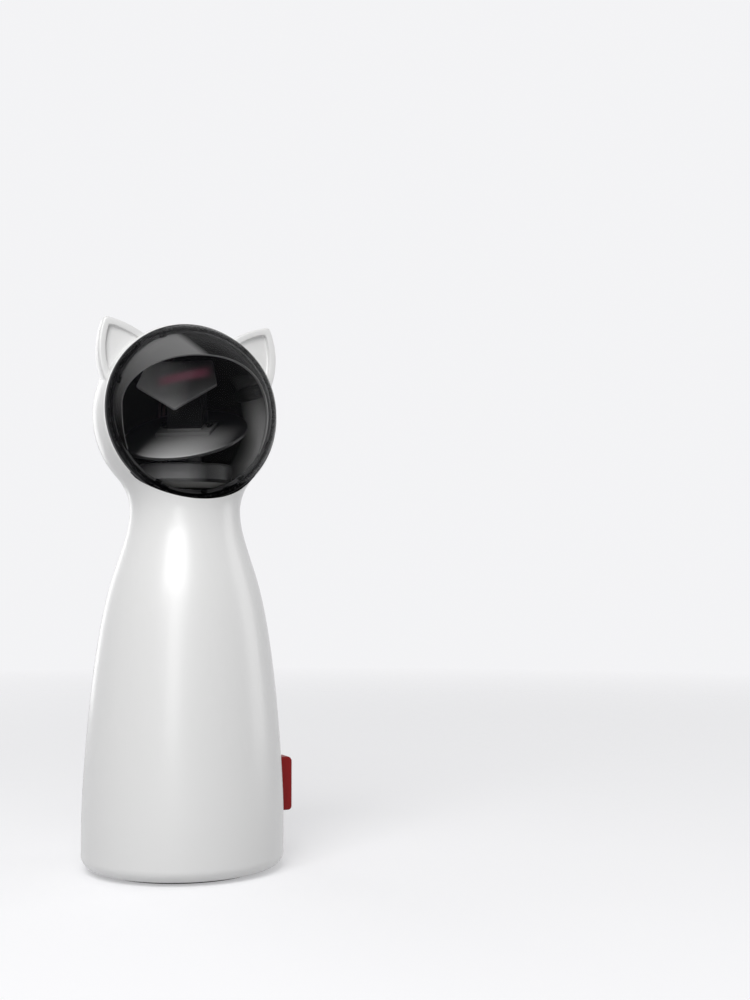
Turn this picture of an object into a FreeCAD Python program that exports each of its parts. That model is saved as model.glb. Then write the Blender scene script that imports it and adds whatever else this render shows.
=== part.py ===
import FreeCAD, Part
import math
import os

# Automatic cat laser toy. Millimetres, +Z up, the face looks along -Y.
# The origin is the centre of the ring that it stands on. An azimuth of 0 is
# the direction -Y, and a positive azimuth turns towards +X.

V = FreeCAD.Vector

# ---------------------------------------------------------------- body
BODY_R = 39.0
BODY_WIDEST_Z = 17.0
TORSO_TAPER = [(0.8, 38.0), (3.0, 66.0), (6.1, 90.0), (10.6, 111.0), (15.2, 125.5)]
FOOT_ROUND = 5.0
SHELL_BOTTOM_Z = 1.2
WALL = 2.0
NECK_R = 21.5
NECK_ROUND = 20.0
HEAD_R = 36.1
HEAD_Z = 175.8
SPLIT_Y = 6.5

# ---------------------------------------------------------------- face
FACE_TILT = 4.9
RIM_FORWARD = 8.5
RIM_STEP = 0.33
DOME_STEP = 0.4
DOME_WALL = 1.6
RING_T = 0.8
RING_W = 3.95
COLLAR_T = 0.6
COLLAR_H = 1.0
COLLAR_GAP = 0.15
CLIP_COUNT = 8
CLIP_W = 2.6
CLIP_H = 2.1
CLIP_LEAN = 0.35
BEZEL_GAP = 1.5
BEZEL_WALL = 1.2
BROW_SIDE = 2.3
BROW_UP = 17.7
BROW_DOWN = 33.5
CRADLE_WALL = 2.0
CRADLE_BACK = 4.5
SEAT_T = 2.0
SEAT_W = 1.7

# ---------------------------------------------------------------- ears
EAR_FOOT = (-1.56, 17.18)
EAR_SIDE = (7.53, 33.69)
EAR_TIP = (13.95, 47.67)
EAR_CROWN = (7.30, 53.53)
EAR_INNER = (-3.80, 62.32)
EAR_ROOT = (-12.69, 19.98)
EAR_MIDDLE_Y = -2.1
EAR_T_FOOT = 8.2
EAR_T_TIP = 3.6
EAR_BORDER = 2.7
EAR_POCKET = 1.1
EAR_ROUND = 0.8

# ---------------------------------------------------------------- base
OPENING_MARGIN = 6.6
BASE_GAP = 0.15
BASE_BOTTOM_Z = 0.8
FLANGE_T = 2.0
FLANGE_W = 1.8
FLANGE_GAP = 0.1
RING_FOOT_MARGIN = 1.4
RING_FOOT_W = 4.0
RING_FOOT_T = 1.8

# ---------------------------------------------------------------- battery
CELL_R = 7.05
CELL_L = 49.5
CELL_NUB_R = 2.6
CELL_NUB_L = 1.0
CELL_COUNT = 3
CELL_GAP = 0.5
CELL_ROOM = 1.3
HOLDER_WALL = 1.6
HOLDER_TOP_T = 1.6
CONTACT_T = 0.4
COVER_R = 20.2
COVER_GAP = 0.3
COVER_RECESS = 0.2
COVER_T = 1.95
COVER_BOSS_R = 18.1
LEDGE_T = 1.2
LUG_T = 0.7
LUG_REACH = 1.8
LUG_ANGLE = 20.0
LUG_COUNT = 3
LUG_PLAY = 4.0
LOCK_ANGLE = 25.0
COIN_SLOT_L = 16.0
COIN_SLOT_W = 2.4
COIN_SLOT_DEPTH = 0.8
LEAF_H = 2.15
BASE_SCREW_RING = 24.5
POST_R = 3.0
POST_H = 7.7
POST_WEB_T = 2.0
POST_WEB_DROP = 1.5
HOLDER_FOOT_GAP = 0.5

# ---------------------------------------------------------------- screws
SCREW_R = 1.05
SCREW_HEAD_R = 2.0
SCREW_HEAD_T = 1.5
SCREW_GAP = 0.25
SCREW_SINK = 0.3
SCREW_TIP_GAP = 1.0
SMALL_SCREW_R = 0.9
SMALL_HEAD_R = 1.5
SMALL_HEAD_T = 1.2
RECESS_DEPTH = 0.6
RECESS_W = 0.5
BOSS_R = 3.0
BOSS_BITE = 0.8
BOSS_L = 12.0
SCREW_SEAT = 4.5
BODY_SCREW_ZS = [52.0, 104.0]
HEAD_SCREW_UP = 11.2
SKIN = 0.6

# ---------------------------------------------------------------- switch
SWITCH_Z = 30.2
CAP_H = 21.2
CAP_W = 8.0
CAP_PROUD = 6.3
CAP_GAP = 0.3
CAP_ROUND = 0.9
CAP_CHAMFER = 2.4
SWITCH_TRAVEL = 2.5
POCKET_MARGIN = 0.6
POCKET_DEPTH = 0.4
PAD_T = 2.4
PAD_MARGIN = 2.5
STEM_W = 4.4
STEM_H = 7.2
CATCH_T = 0.8
CATCH_LIP = 1.2
LEVER_W = 2.0
LEVER_H = 3.6
LEVER_L = 5.0
LEVER_GRIP = 2.2
LEVER_FIT = 0.05
SWITCH_BODY_W = 7.0
SWITCH_BODY_H = 16.0
SWITCH_BODY_T = 5.4
SWITCH_SLOT_DEPTH = 1.8

# ---------------------------------------------------------------- boards
BOARD_T = 1.6
BOARD_GAP = 3.2
BOARD_W = 28.0
BOARD_Z0 = 9.0
BOARD_H = 49.0
BOARD_HOLE_Y = 11.0
BOARD_HOLE_MARGIN = 5.0
BOARD_POST_R = 2.2
BOARD_SCREW_L = 4.4
BOARD_ROUND = 1.5
BOARD_CHIPS = [
    (1.6, -2.5, 3.5, 9.0, 14.0),
    (1.2, -8.6, -5.6, -1.0, 4.0),
    (4.2, 3.4, 8.4, 18.0, 23.0),
    (4.2, -8.4, -3.4, 18.0, 23.0),
    (0.8, 5.0, 6.6, -16.0, -12.8),
    (0.8, -6.6, -5.0, -16.0, -12.8),
]
CAPACITOR_R = 2.5
CAPACITOR_L = 6.5
CAPACITOR_Y = 8.6
PORT_BOARD_W = 18.0
PORT_BOARD_L = 13.0
PORT_BOARD_LIFT = 4.1
PORT_W = 7.6
PORT_H = 2.9
PORT_L = 6.6
PORT_WALL = 0.35
PORT_INSET = 4.4
PORT_HOLE_W = 12.0
PORT_HOLE_H = 6.8
PORT_HOLE_ROUND = 2.0
PORT_SCREW_X = 6.4

# ---------------------------------------------------------------- gears
MODULE = 0.6
PRESSURE_ANGLE = 25.0
ADDENDUM = 0.8
DEDENDUM = 1.05
BACKLASH = 0.10
DRUM_TEETH = 24
IDLER_SMALL_TEETH = 10
IDLER_LARGE_TEETH = 20
PINION_TEETH = 10
MOTOR_BEARING = 137.3
GEAR_T = 2.6
GEAR_GAP = 0.4
DECK_DROP = 28.8
DECK_T = 2.0
DECK_R = 16.8
DECK_BEVEL = 3.8
DECK_EAR_R = 2.2
DECK_SCREW_RING = 14.25
DECK_SCREW_BEARINGS = [187.5, 110.0, 39.6]
LUG_BEAM_T = 2.4
DECK_GAP = 0.6
COVER_OUT_R = 18.2
COVER_H = 7.4
COVER_WALL = 0.9
COVER_BEVEL = 1.2
COVER_ROUND = 1.2
AXLE_R = 1.5
AXLE_FIT = 0.05
AXLE_L = 15.0
AXLE_BOSS_R = 3.0
PIN_R = 1.0
HUB_R = 4.0
HUB_GAP = 0.8
HUB_H = 12.0
CLIP_UP = 13.0
CLIP_T = 0.8
CLIP_OUT_R = 2.6
CLIP_CAVITY_R = 3.2
CLIP_CAVITY_GAP = 0.8

# ---------------------------------------------------------------- motor
MOTOR_R = 6.0
MOTOR_FLAT = 5.0
GEARBOX_L = 9.0
MOTOR_L = 14.0
MOTOR_CAP_R = 2.2
MOTOR_CAP_L = 1.2
SHAFT_R = 1.5
SHAFT_DEPTH = 3.0
MOTOR_SCREW_X = 4.0
MOTOR_SCREW_R = 0.7
MOTOR_HEAD_R = 1.2

# ---------------------------------------------------------------- rotor
MIRROR_AZIMUTH = -36.0
TABLE_MARGIN = 11.7
TABLE_SLANT = 25.0
TABLE_DROP = 6.6
TABLE_T = 1.6
TABLE_ROUND = 0.6
TABLE_HUB_R = 6.5
TABLE_HUB_UP = 10.2
MIRROR_UP_Z = 17.2
MIRROR_SLOPE = 50.0
MIRROR_T = 1.2
MIRROR_HALF_W = 17.5
MIRROR_VERTEX = 20.4
MIRROR_CORNER = 6.5
MIRROR_UP = 6.9
BRACKET_HALF_W = 7.0
BRACKET_FRONT = 2.0
BRACKET_BACK = 6.0
BRACKET_CUT_W = 8.0
BRACKET_CUT_DEPTH = 5.0
BRACKET_FOOT_T = 1.5
BRACKET_FOOT_HALF_W = 11.0
BRACKET_FOOT_MARGIN = 2.0
TABLE_SCREW_X = 9.0
TABLE_SCREW_L = 3.0

# ---------------------------------------------------------------- laser
LASER_DROP = 9.5
LASER_R = 3.15
LASER_L = 6.8
LASER_FIT = 0.05
LASER_LIP = 0.8
LASER_HOLE_R = 2.2
LENS_R = 2.0
LENS_T = 0.6
BARREL_WALL = 2.0
BARREL_L = 8.0
LASER_BAR_UP = 3.2
LASER_BAR_T = 2.0
LASER_BAR_W = 6.0
LASER_SCREW_X = 9.5
LASER_BOSS_R = 2.5

# ---------------------------------------------------------------- leads
LEAD_R = 0.6
LEAD_STEP = 1.8
ARC_SHARE = 0.45


# ================================================================ helpers
def cyl(r, z0, z1, x=0.0, y=0.0):
    """Upright cylinder between two heights."""
    return Part.makeCylinder(r, z1 - z0, V(x, y, z0))


def tube(r_out, r_in, z0, z1, x=0.0, y=0.0):
    """Upright tube between two heights."""
    return cyl(r_out, z0, z1, x, y).cut(cyl(r_in, z0, z1, x, y))


def cone(r0, r1, z0, z1):
    """Upright cone on the main axis."""
    return Part.makeCone(r0, r1, z1 - z0, V(0, 0, z0))


def rod_x(r, x0, x1, y, z):
    """Cylinder along +X."""
    return Part.makeCylinder(r, x1 - x0, V(x0, y, z), V(1, 0, 0))


def rod_y(r, y0, y1, x, z):
    """Cylinder along +Y."""
    return Part.makeCylinder(r, y1 - y0, V(x, y0, z), V(0, 1, 0))


def block(x0, x1, y0, y1, z0, z1):
    """Box between two corners."""
    return Part.makeBox(x1 - x0, y1 - y0, z1 - z0, V(x0, y0, z0))


def join(shapes):
    """One solid out of overlapping or touching solids."""
    return shapes[0].multiFuse(shapes[1:]).removeSplitter()


def group(shapes):
    """Separate solids kept in one node."""
    return Part.makeCompound(shapes)


def polar(radius, bearing):
    """Point at a bearing counted from +X towards +Y."""
    angle = math.radians(bearing)
    return radius * math.cos(angle), radius * math.sin(angle)


def prism_x(points_yz, half_width):
    """Solid whose section in the YZ plane is a polygon."""
    corners = [V(-half_width, y, z) for y, z in points_yz]
    face = Part.Face(Part.makePolygon(corners + [corners[0]]))
    return face.extrude(V(2 * half_width, 0, 0))


def in_face_frame(shape):
    """Place a solid drawn with its axis up so that its axis looks out of the face."""
    placed = shape.copy()
    placed.rotate(V(0, 0, 0), V(1, 0, 0), 90.0 - FACE_TILT)
    placed.translate(V(0, 0, HEAD_Z))
    return placed


def in_rotor_frame(shape):
    """Turn a solid drawn facing -Y to the mirror's azimuth at rest."""
    placed = shape.copy()
    placed.rotate(V(0, 0, 0), V(0, 0, 1), MIRROR_AZIMUTH)
    return placed


def screw(length, shank_r, head_r, head_t):
    """Screw with its head's underside at z = 0 and its shank pointing down."""
    head = cyl(head_r, 0, head_t)
    rim = [e for e in head.Edges if e.Curve.TypeId == "Part::GeomCircle" and e.Vertexes[0].Z > head_t / 2]
    head = head.makeFillet(0.3 * head_t, rim)
    shank = cyl(shank_r, -length, 0)
    reach = 0.65 * head_r
    slots = [
        block(-reach, reach, -RECESS_W / 2, RECESS_W / 2, head_t - RECESS_DEPTH, head_t),
        block(-RECESS_W / 2, RECESS_W / 2, -reach, reach, head_t - RECESS_DEPTH, head_t),
    ]
    return join([head, shank]).cut(join(slots))


def placed_screw(seat, direction, length, shank_r, head_r, head_t):
    """Screw whose head sits on seat and whose shank runs along direction."""
    shape = screw(length, shank_r, head_r, head_t)
    shape.Placement = FreeCAD.Placement(seat, FreeCAD.Rotation(V(0, 0, -1), direction))
    return shape


# ================================================================ body form
def unit(x, y):
    """Direction of a vector in the plane."""
    size = math.hypot(x, y)
    return x / size, y / size


DECK_Z = HEAD_Z - DECK_DROP
COVER_TOP_Z = DECK_Z + DECK_T + COVER_H
AXLE_TOP_Z = DECK_Z + AXLE_L
HUB_TOP_Z = DECK_Z + HUB_H
CLIP_Z = DECK_Z + CLIP_UP
TABLE_R = HEAD_R - TABLE_MARGIN
TABLE_Z = HEAD_Z - TABLE_DROP
TABLE_HUB_Z = DECK_Z + TABLE_HUB_UP
MIRROR_Z = HEAD_Z + MIRROR_UP_Z
LASER_Z = HEAD_Z + HEAD_R - WALL - LASER_DROP
LASER_BAR_Z = LASER_Z + LASER_BAR_UP
OPENING_R = BODY_R - OPENING_MARGIN
RING_FOOT_R = OPENING_R - RING_FOOT_MARGIN
NECK_ARC_X = NECK_R + NECK_ROUND
NECK_Z = HEAD_Z - math.sqrt((HEAD_R + NECK_ROUND) ** 2 - NECK_ARC_X**2)


def arc_edge(centre, radius, start, end):
    """Arc in the XZ plane between two directions, the short way round."""
    middle = unit(start[0] + end[0], start[1] + end[1])
    points = [V(centre[0] + radius * d[0], 0, centre[1] + radius * d[1]) for d in (start, middle, end)]
    return Part.Arc(*points).toShape()


def body_solid(inset):
    """The turned body and head, moved in by inset."""
    base_r = BODY_R - inset
    bottom = SHELL_BOTTOM_Z + inset
    corner = FOOT_ROUND - inset
    to_neck = unit(NECK_ARC_X, NECK_Z - HEAD_Z)
    foot = arc_edge((base_r - corner, bottom + corner), corner, (0, -1), (1, 0))
    neck = arc_edge((NECK_ARC_X, NECK_Z), NECK_ROUND + inset, (-1, 0), (-to_neck[0], -to_neck[1]))
    head = arc_edge((0, HEAD_Z), HEAD_R - inset, to_neck, (0, 1))
    side_foot = V(base_r, 0, BODY_WIDEST_Z)
    side_top = V(NECK_R - inset, 0, NECK_Z)
    torso = Part.BSplineCurve()
    torso.interpolate(
        Points=[side_foot] + [V(base_r - taper, 0, z) for taper, z in TORSO_TAPER] + [side_top],
        InitialTangent=V(0, 0, 1),
        FinalTangent=V(0, 0, 1),
    )
    low = V(0, 0, bottom)
    top = V(0, 0, HEAD_Z + HEAD_R - inset)
    edges = [
        Part.LineSegment(low, V(base_r - corner, 0, bottom)).toShape(),
        foot,
        Part.LineSegment(V(base_r, 0, bottom + corner), side_foot).toShape(),
        torso.toShape(),
        neck,
        head,
        Part.LineSegment(top, low).toShape(),
    ]
    return Part.Face(Part.Wire(edges)).revolve(V(0, 0, 0), V(0, 0, 1), 360)


OUTER = body_solid(0.0)
INNER = body_solid(WALL)
TRIM = body_solid(SKIN)


def radius_at(solid, z):
    """Radius of a turned solid at a height."""
    wires = solid.slice(V(0, 0, 1), z)
    return max(w.BoundBox.XMax for w in wires)


# ================================================================ face values
RIM_R = math.sqrt(HEAD_R**2 - RIM_FORWARD**2)
CUT_R = RIM_R + 0.1
RING_OUT_R = RIM_R - RIM_STEP
RING_IN_R = RING_OUT_R - RING_W
DOME_R = HEAD_R - DOME_STEP
DOME_BACK = RIM_FORWARD + RING_T
DOME_IN_R = DOME_R - DOME_WALL
BEZEL_R = DOME_IN_R - BEZEL_GAP
BROW_HALF_W = BEZEL_R - BROW_SIDE
COLLAR_TOP = DOME_BACK + COLLAR_H
COLLAR_OUT_R = math.sqrt(DOME_IN_R**2 - COLLAR_TOP**2) - COLLAR_GAP
FAR = 2 * HEAD_R


def rim_seat():
    """Ledge behind the dome ring, where the neck would leave it with nothing to sit on."""
    seat = tube(CUT_R + CRADLE_WALL, CUT_R - SEAT_W, RIM_FORWARD - SEAT_T, RIM_FORWARD)
    cradle = tube(CUT_R + CRADLE_WALL, CUT_R, CRADLE_BACK, FAR)
    return in_face_frame(seat.fuse(cradle)).common(OUTER)


def face_opening():
    """Everything in front of the rim, as wide as the rim."""
    return in_face_frame(cyl(CUT_R, RIM_FORWARD, FAR))


# ================================================================ ears
def ear_point(place):
    """Point of an ear's outline from its rise over the head and its angle above level."""
    rise, angle = place
    x, up = polar(HEAD_R + rise, angle)
    return V(x, 0, HEAD_Z + up)


def ear_outline():
    """Outline of one ear in the XZ plane, drawn for the +X side."""
    foot, side, tip = ear_point(EAR_FOOT), ear_point(EAR_SIDE), ear_point(EAR_TIP)
    crown, inner, root = ear_point(EAR_CROWN), ear_point(EAR_INNER), ear_point(EAR_ROOT)
    return Part.Wire(
        [
            Part.Arc(foot, side, tip).toShape(),
            Part.Arc(tip, crown, inner).toShape(),
            Part.LineSegment(inner, root).toShape(),
            Part.LineSegment(root, foot).toShape(),
        ]
    )


def ear_slab(front, back):
    """Solid between two slanted planes, each given by its places at the ear's root and tip."""
    z0 = ear_point(EAR_ROOT).z
    z1 = ear_point(EAR_TIP).z
    section = [(front[0], z0), (front[1], z1), (back[1], z1), (back[0], z0)]
    return prism_x([(EAR_MIDDLE_Y + y, z) for y, z in section], FAR)


def ear():
    """One ear with its sunk front panel, on the +X side."""
    outline = ear_outline()
    depth = V(0, 2 * EAR_T_FOOT, 0)
    to_front = V(0, EAR_MIDDLE_Y - EAR_T_FOOT, 0)
    plate = Part.Face(outline).extrude(depth)
    plate.translate(to_front)
    root, tip = EAR_T_FOOT / 2, EAR_T_TIP / 2
    plate = plate.common(ear_slab((-root, -tip), (root, tip)))
    outside = [e for e in plate.Edges if e.CenterOfMass.sub(V(0, 0, HEAD_Z)).Length > HEAD_R + 1.0]
    plate = plate.makeFillet(EAR_ROUND, outside)
    panel = Part.Face(outline.makeOffset2D(-EAR_BORDER)).extrude(depth)
    panel.translate(to_front)
    pocket = panel.common(ear_slab((-FAR, -FAR), (EAR_POCKET - root, EAR_POCKET - tip)))
    return plate.cut(pocket).cut(INNER)


# ================================================================ shells
def shell_screw_points():
    """Side-to-side place and height of each shell screw."""
    points = []
    for z in BODY_SCREW_ZS + [HEAD_Z + HEAD_SCREW_UP]:
        wall_x = math.sqrt(radius_at(INNER, z) ** 2 - SPLIT_Y**2)
        x = wall_x - BOSS_R + BOSS_BITE
        points += [(x, z), (-x, z)]
    return points


SCREW_POINTS = shell_screw_points()
SEAT_Y = SPLIT_Y + SCREW_SEAT
FRONT_HALF = block(-FAR, FAR, -FAR, SPLIT_Y, -1.0, HEAD_Z + FAR)
REAR_HALF = block(-FAR, FAR, SPLIT_Y, FAR, -1.0, HEAD_Z + FAR)

POCKET_H = CAP_H + 2 * (SWITCH_TRAVEL + POCKET_MARGIN)
FLAT_X = radius_at(OUTER, SWITCH_Z + POCKET_H / 2) - POCKET_DEPTH
CAP_IN_X = FLAT_X + CAP_GAP
CAP_OUT_X = CAP_IN_X + CAP_PROUD
PAD_IN_X = FLAT_X - PAD_T


def switch_window():
    """Pocket that the cap slides in and the slot that its stem passes through."""
    half_w = CAP_W / 2 + POCKET_MARGIN
    half_h = POCKET_H / 2
    pocket = block(FLAT_X, FAR, -half_w, half_w, SWITCH_Z - half_h, SWITCH_Z + half_h)
    slot_w = STEM_W / 2 + CAP_GAP
    slot_h = STEM_H / 2 + SWITCH_TRAVEL + CAP_GAP
    slot = block(PAD_IN_X - 1.0, FLAT_X + 1.0, -slot_w, slot_w, SWITCH_Z - slot_h, SWITCH_Z + slot_h)
    return join([pocket, slot])


def switch_pad():
    """Thicker wall behind the switch pocket."""
    half_w = CAP_W / 2 + POCKET_MARGIN + PAD_MARGIN
    half_h = POCKET_H / 2 + PAD_MARGIN
    pad = block(PAD_IN_X, FAR, -half_w, min(half_w, SPLIT_Y), SWITCH_Z - half_h, SWITCH_Z + half_h)
    return pad.common(TRIM)


def deck_points():
    """Places of the deck's screws."""
    return [polar(DECK_SCREW_RING, bearing) for bearing in DECK_SCREW_BEARINGS]


def deck_beam(bearing):
    """Bracket that reaches from the neck's wall to a deck screw."""
    x, y = polar(DECK_SCREW_RING, bearing)
    z0 = DECK_Z - LUG_BEAM_T
    arm = block(0, FAR, -DECK_EAR_R, DECK_EAR_R, z0, DECK_Z)
    arm.rotate(V(0, 0, 0), V(0, 0, 1), bearing)
    arm.translate(V(x, y, 0))
    return join([arm, cyl(DECK_EAR_R, z0, DECK_Z, x, y)]).common(TRIM)


def deck_pilots():
    """Screw holes in the deck and the brackets below it."""
    z0 = DECK_Z - LUG_BEAM_T
    return join([cyl(SMALL_SCREW_R, z0, DECK_Z + DECK_T, x, y) for x, y in deck_points()])


LASER_SCREW_L = 6.0
LASER_BAR_TOP = LASER_BAR_Z + LASER_BAR_T


def laser_bosses():
    """Posts that hang from the top of the head."""
    xs = (-LASER_SCREW_X, LASER_SCREW_X)
    return [cyl(LASER_BOSS_R, LASER_BAR_TOP, HEAD_Z + HEAD_R, x, 0).common(TRIM) for x in xs]


def laser_pilots():
    """Screw holes through the laser bar and up into its posts."""
    top = LASER_BAR_Z + LASER_SCREW_L
    return join([cyl(SMALL_SCREW_R, LASER_BAR_Z, top, x, 0) for x in (-LASER_SCREW_X, LASER_SCREW_X)])


def base_opening():
    """Round opening in the bottom of the shells."""
    return cyl(OPENING_R, 0, FLANGE_Z)


def front_shell():
    """Front half of the body and head, with the ears and the dome's rim."""
    right_ear = ear()
    left_ear = right_ear.mirror(V(0, 0, 0), V(1, 0, 0))
    wall = OUTER.cut(INNER).common(FRONT_HALF)
    bosses = [rod_y(BOSS_R, SPLIT_Y - BOSS_L, SPLIT_Y, x, z).common(TRIM) for x, z in SCREW_POINTS]
    beams = [deck_beam(b) for b in DECK_SCREW_BEARINGS if polar(1, b)[1] < 0]
    solid = join([wall, right_ear, left_ear, switch_pad()] + bosses + beams + laser_bosses())
    solid = solid.cut(face_opening())
    solid = join([solid, rim_seat().common(FRONT_HALF)])
    holes = [rod_y(SCREW_R, SPLIT_Y - BOSS_L, SPLIT_Y, x, z) for x, z in SCREW_POINTS]
    holes += [base_opening(), switch_window(), deck_pilots(), laser_pilots()]
    for hole in holes:
        solid = solid.cut(hole)
    return solid


def rear_shell():
    """Rear cover of the body and head."""
    wall = OUTER.cut(INNER).common(REAR_HALF)
    bosses = [rod_y(BOSS_R, SPLIT_Y, FAR, x, z).common(TRIM) for x, z in SCREW_POINTS]
    beams = [deck_beam(b) for b in DECK_SCREW_BEARINGS if polar(1, b)[1] > 0]
    solid = join([wall] + bosses + beams)
    holes = [base_opening(), port_hole(), deck_pilots()]
    for x, z in SCREW_POINTS:
        holes.append(rod_y(SCREW_R, SPLIT_Y, SEAT_Y, x, z))
        holes.append(rod_y(SCREW_HEAD_R + SCREW_GAP, SEAT_Y, FAR, x, z))
    for hole in holes:
        solid = solid.cut(hole)
    return solid


def shell_screws():
    """The screws that hold the rear shell to the front shell."""
    length = SCREW_SEAT + BOSS_L - SCREW_TIP_GAP
    size = (length, SCREW_R, SCREW_HEAD_R, SCREW_HEAD_T)
    return group([placed_screw(V(x, SEAT_Y, z), V(0, -1, 0), *size) for x, z in SCREW_POINTS])


# ================================================================ face parts
def smoked_dome():
    """Dome over the face, part of a hollow ball."""
    ball = Part.makeSphere(DOME_R).cut(Part.makeSphere(DOME_IN_R))
    return in_face_frame(ball.common(cyl(FAR, DOME_BACK, FAR)))


def dome_ring():
    """Black ring under the dome, with a collar and snap clips that hold the dome."""
    parts = [
        tube(RING_OUT_R, RING_IN_R, RIM_FORWARD, DOME_BACK),
        tube(COLLAR_OUT_R, COLLAR_OUT_R - COLLAR_T, DOME_BACK, COLLAR_TOP),
    ]
    for k in range(CLIP_COUNT):
        clip_in, clip_out = COLLAR_OUT_R - COLLAR_T, COLLAR_OUT_R - CLIP_LEAN
        clip = block(clip_in, clip_out, -CLIP_W / 2, CLIP_W / 2, DOME_BACK, DOME_BACK + CLIP_H)
        clip.rotate(V(0, 0, 0), V(0, 0, 1), (k + 0.5) * 360.0 / CLIP_COUNT)
        parts.append(clip)
    return in_face_frame(join(parts))


def bezel():
    """Dark brow that follows the dome inside and leaves the lower face open."""
    liner = Part.makeSphere(BEZEL_R).cut(Part.makeSphere(BEZEL_R - BEZEL_WALL))
    liner = liner.common(cyl(FAR, DOME_BACK, FAR))
    half_h = (BROW_UP + BROW_DOWN) / 2
    centre = V(0, (BROW_UP - BROW_DOWN) / 2, 0)
    oval = Part.Ellipse(centre + V(BROW_HALF_W, 0, 0), centre + V(0, half_h, 0), centre)
    opening = Part.Face(Part.Wire(oval.toShape())).extrude(V(0, 0, FAR))
    return in_face_frame(liner.cut(opening))


# ================================================================ base parts
FLANGE_Z = SHELL_BOTTOM_Z + WALL + FLANGE_GAP
BASE_TOP_Z = FLANGE_Z + FLANGE_T
BASE_SEAT_Z = BASE_BOTTOM_Z + SCREW_SINK + SCREW_HEAD_T
COVER_Z = BASE_BOTTOM_Z + COVER_RECESS
COVER_TOP = COVER_Z + COVER_T
LEDGE_Z = COVER_TOP + 0.15
LUG_Z = LEDGE_Z + LEDGE_T + 0.15
LUG_TOP = LUG_Z + LUG_T
LUG_R = COVER_BOSS_R + LUG_REACH
FOOT_GROOVE_TOP = RING_FOOT_T
HOLDER_Z = LUG_TOP + 0.15
CELL_RING = (2 * CELL_R + CELL_GAP) / (2 * math.sin(math.pi / CELL_COUNT))
HOLDER_IN_R = CELL_RING + CELL_R + CELL_ROOM
HOLDER_R = HOLDER_IN_R + HOLDER_WALL
CELL_Z = LUG_TOP + CONTACT_T + LEAF_H - 0.1
CELL_TOP = CELL_Z + CELL_L
CONTACT_Z = CELL_TOP + CELL_NUB_L
HOLDER_CEILING = CONTACT_Z + CONTACT_T
HOLDER_TOP = HOLDER_CEILING + HOLDER_TOP_T
BOARD_X = HOLDER_R + BOARD_GAP
BOARD_HOLE_ZS = [BOARD_Z0 + BOARD_HOLE_MARGIN, BOARD_Z0 + BOARD_H - BOARD_HOLE_MARGIN]
BOARD_HOLES = [(y, z) for y in (-BOARD_HOLE_Y, BOARD_HOLE_Y) for z in BOARD_HOLE_ZS]
PORT_FACE_Y = BODY_R - PORT_INSET
PORT_BOARD_Z = BASE_TOP_Z + PORT_BOARD_LIFT
PORT_Z = PORT_BOARD_Z + BOARD_T
PORT_MIDDLE_Z = PORT_Z + PORT_H / 2
PORT_BOARD_Y = PORT_FACE_Y - PORT_BOARD_L - 0.6
PORT_SCREW_Y = PORT_BOARD_Y + 3.4


def sector(r_in, r_out, z0, z1, middle, width):
    """Part of an upright tube around a bearing."""
    ring = tube(r_out, r_in, z0, z1)
    wedge = Part.makeCylinder(r_out + 1.0, z1 - z0, V(0, 0, z0), V(0, 0, 1), width)
    wedge.rotate(V(0, 0, 0), V(0, 0, 1), middle - width / 2)
    return ring.common(wedge)


def base_screw_points():
    """Places of the screws that hold the battery holder on the base."""
    return [polar(BASE_SCREW_RING, 45.0 + 90.0 * k) for k in range(4)]


def port_screw_points():
    """Places of the charge board's screws."""
    return [(-PORT_SCREW_X, PORT_SCREW_Y), (PORT_SCREW_X, PORT_SCREW_Y)]


def base_plate():
    """Floor of the toy, with the battery opening and the foot ring's groove."""
    parts = [
        cyl(OPENING_R - BASE_GAP, BASE_BOTTOM_Z, FLANGE_Z),
        cyl(OPENING_R + FLANGE_W, FLANGE_Z, BASE_TOP_Z),
    ]
    parts += [cyl(POST_R - 0.6, BASE_TOP_Z, PORT_BOARD_Z, x, y) for x, y in port_screw_points()]
    plate = join(parts)
    mouth = COVER_R + COVER_GAP
    plate = plate.cut(cyl(mouth, BASE_BOTTOM_Z, LEDGE_Z))
    plate = plate.cut(cyl(COVER_BOSS_R + COVER_GAP, LEDGE_Z, BASE_TOP_Z))
    plate = plate.cut(cyl(mouth, LEDGE_Z + LEDGE_T, BASE_TOP_Z))
    for k in range(LUG_COUNT):
        middle = LOCK_ANGLE + k * 360.0 / LUG_COUNT
        width = LUG_ANGLE + LUG_PLAY
        notch = sector(COVER_BOSS_R - 1.0, LUG_R + COVER_GAP, LEDGE_Z, LEDGE_Z + LEDGE_T, middle, width)
        plate = plate.cut(notch)
    plate = plate.cut(tube(RING_FOOT_R, RING_FOOT_R - RING_FOOT_W, BASE_BOTTOM_Z, FOOT_GROOVE_TOP))
    for x, y in base_screw_points():
        plate = plate.cut(cyl(SCREW_R, BASE_BOTTOM_Z, BASE_TOP_Z, x, y))
        plate = plate.cut(cyl(SCREW_HEAD_R + SCREW_GAP, BASE_BOTTOM_Z, BASE_SEAT_Z, x, y))
    for x, y in port_screw_points():
        plate = plate.cut(cyl(SMALL_SCREW_R, BASE_TOP_Z, PORT_BOARD_Z, x, y))
    return plate


def foot_ring():
    """Soft ring that the toy stands on."""
    ring = tube(RING_FOOT_R, RING_FOOT_R - RING_FOOT_W, 0, RING_FOOT_T)
    low = [e for e in ring.Edges if e.Curve.TypeId == "Part::GeomCircle" and e.CenterOfMass.z < 0.1]
    return ring.makeFillet(0.4, low)


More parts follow.
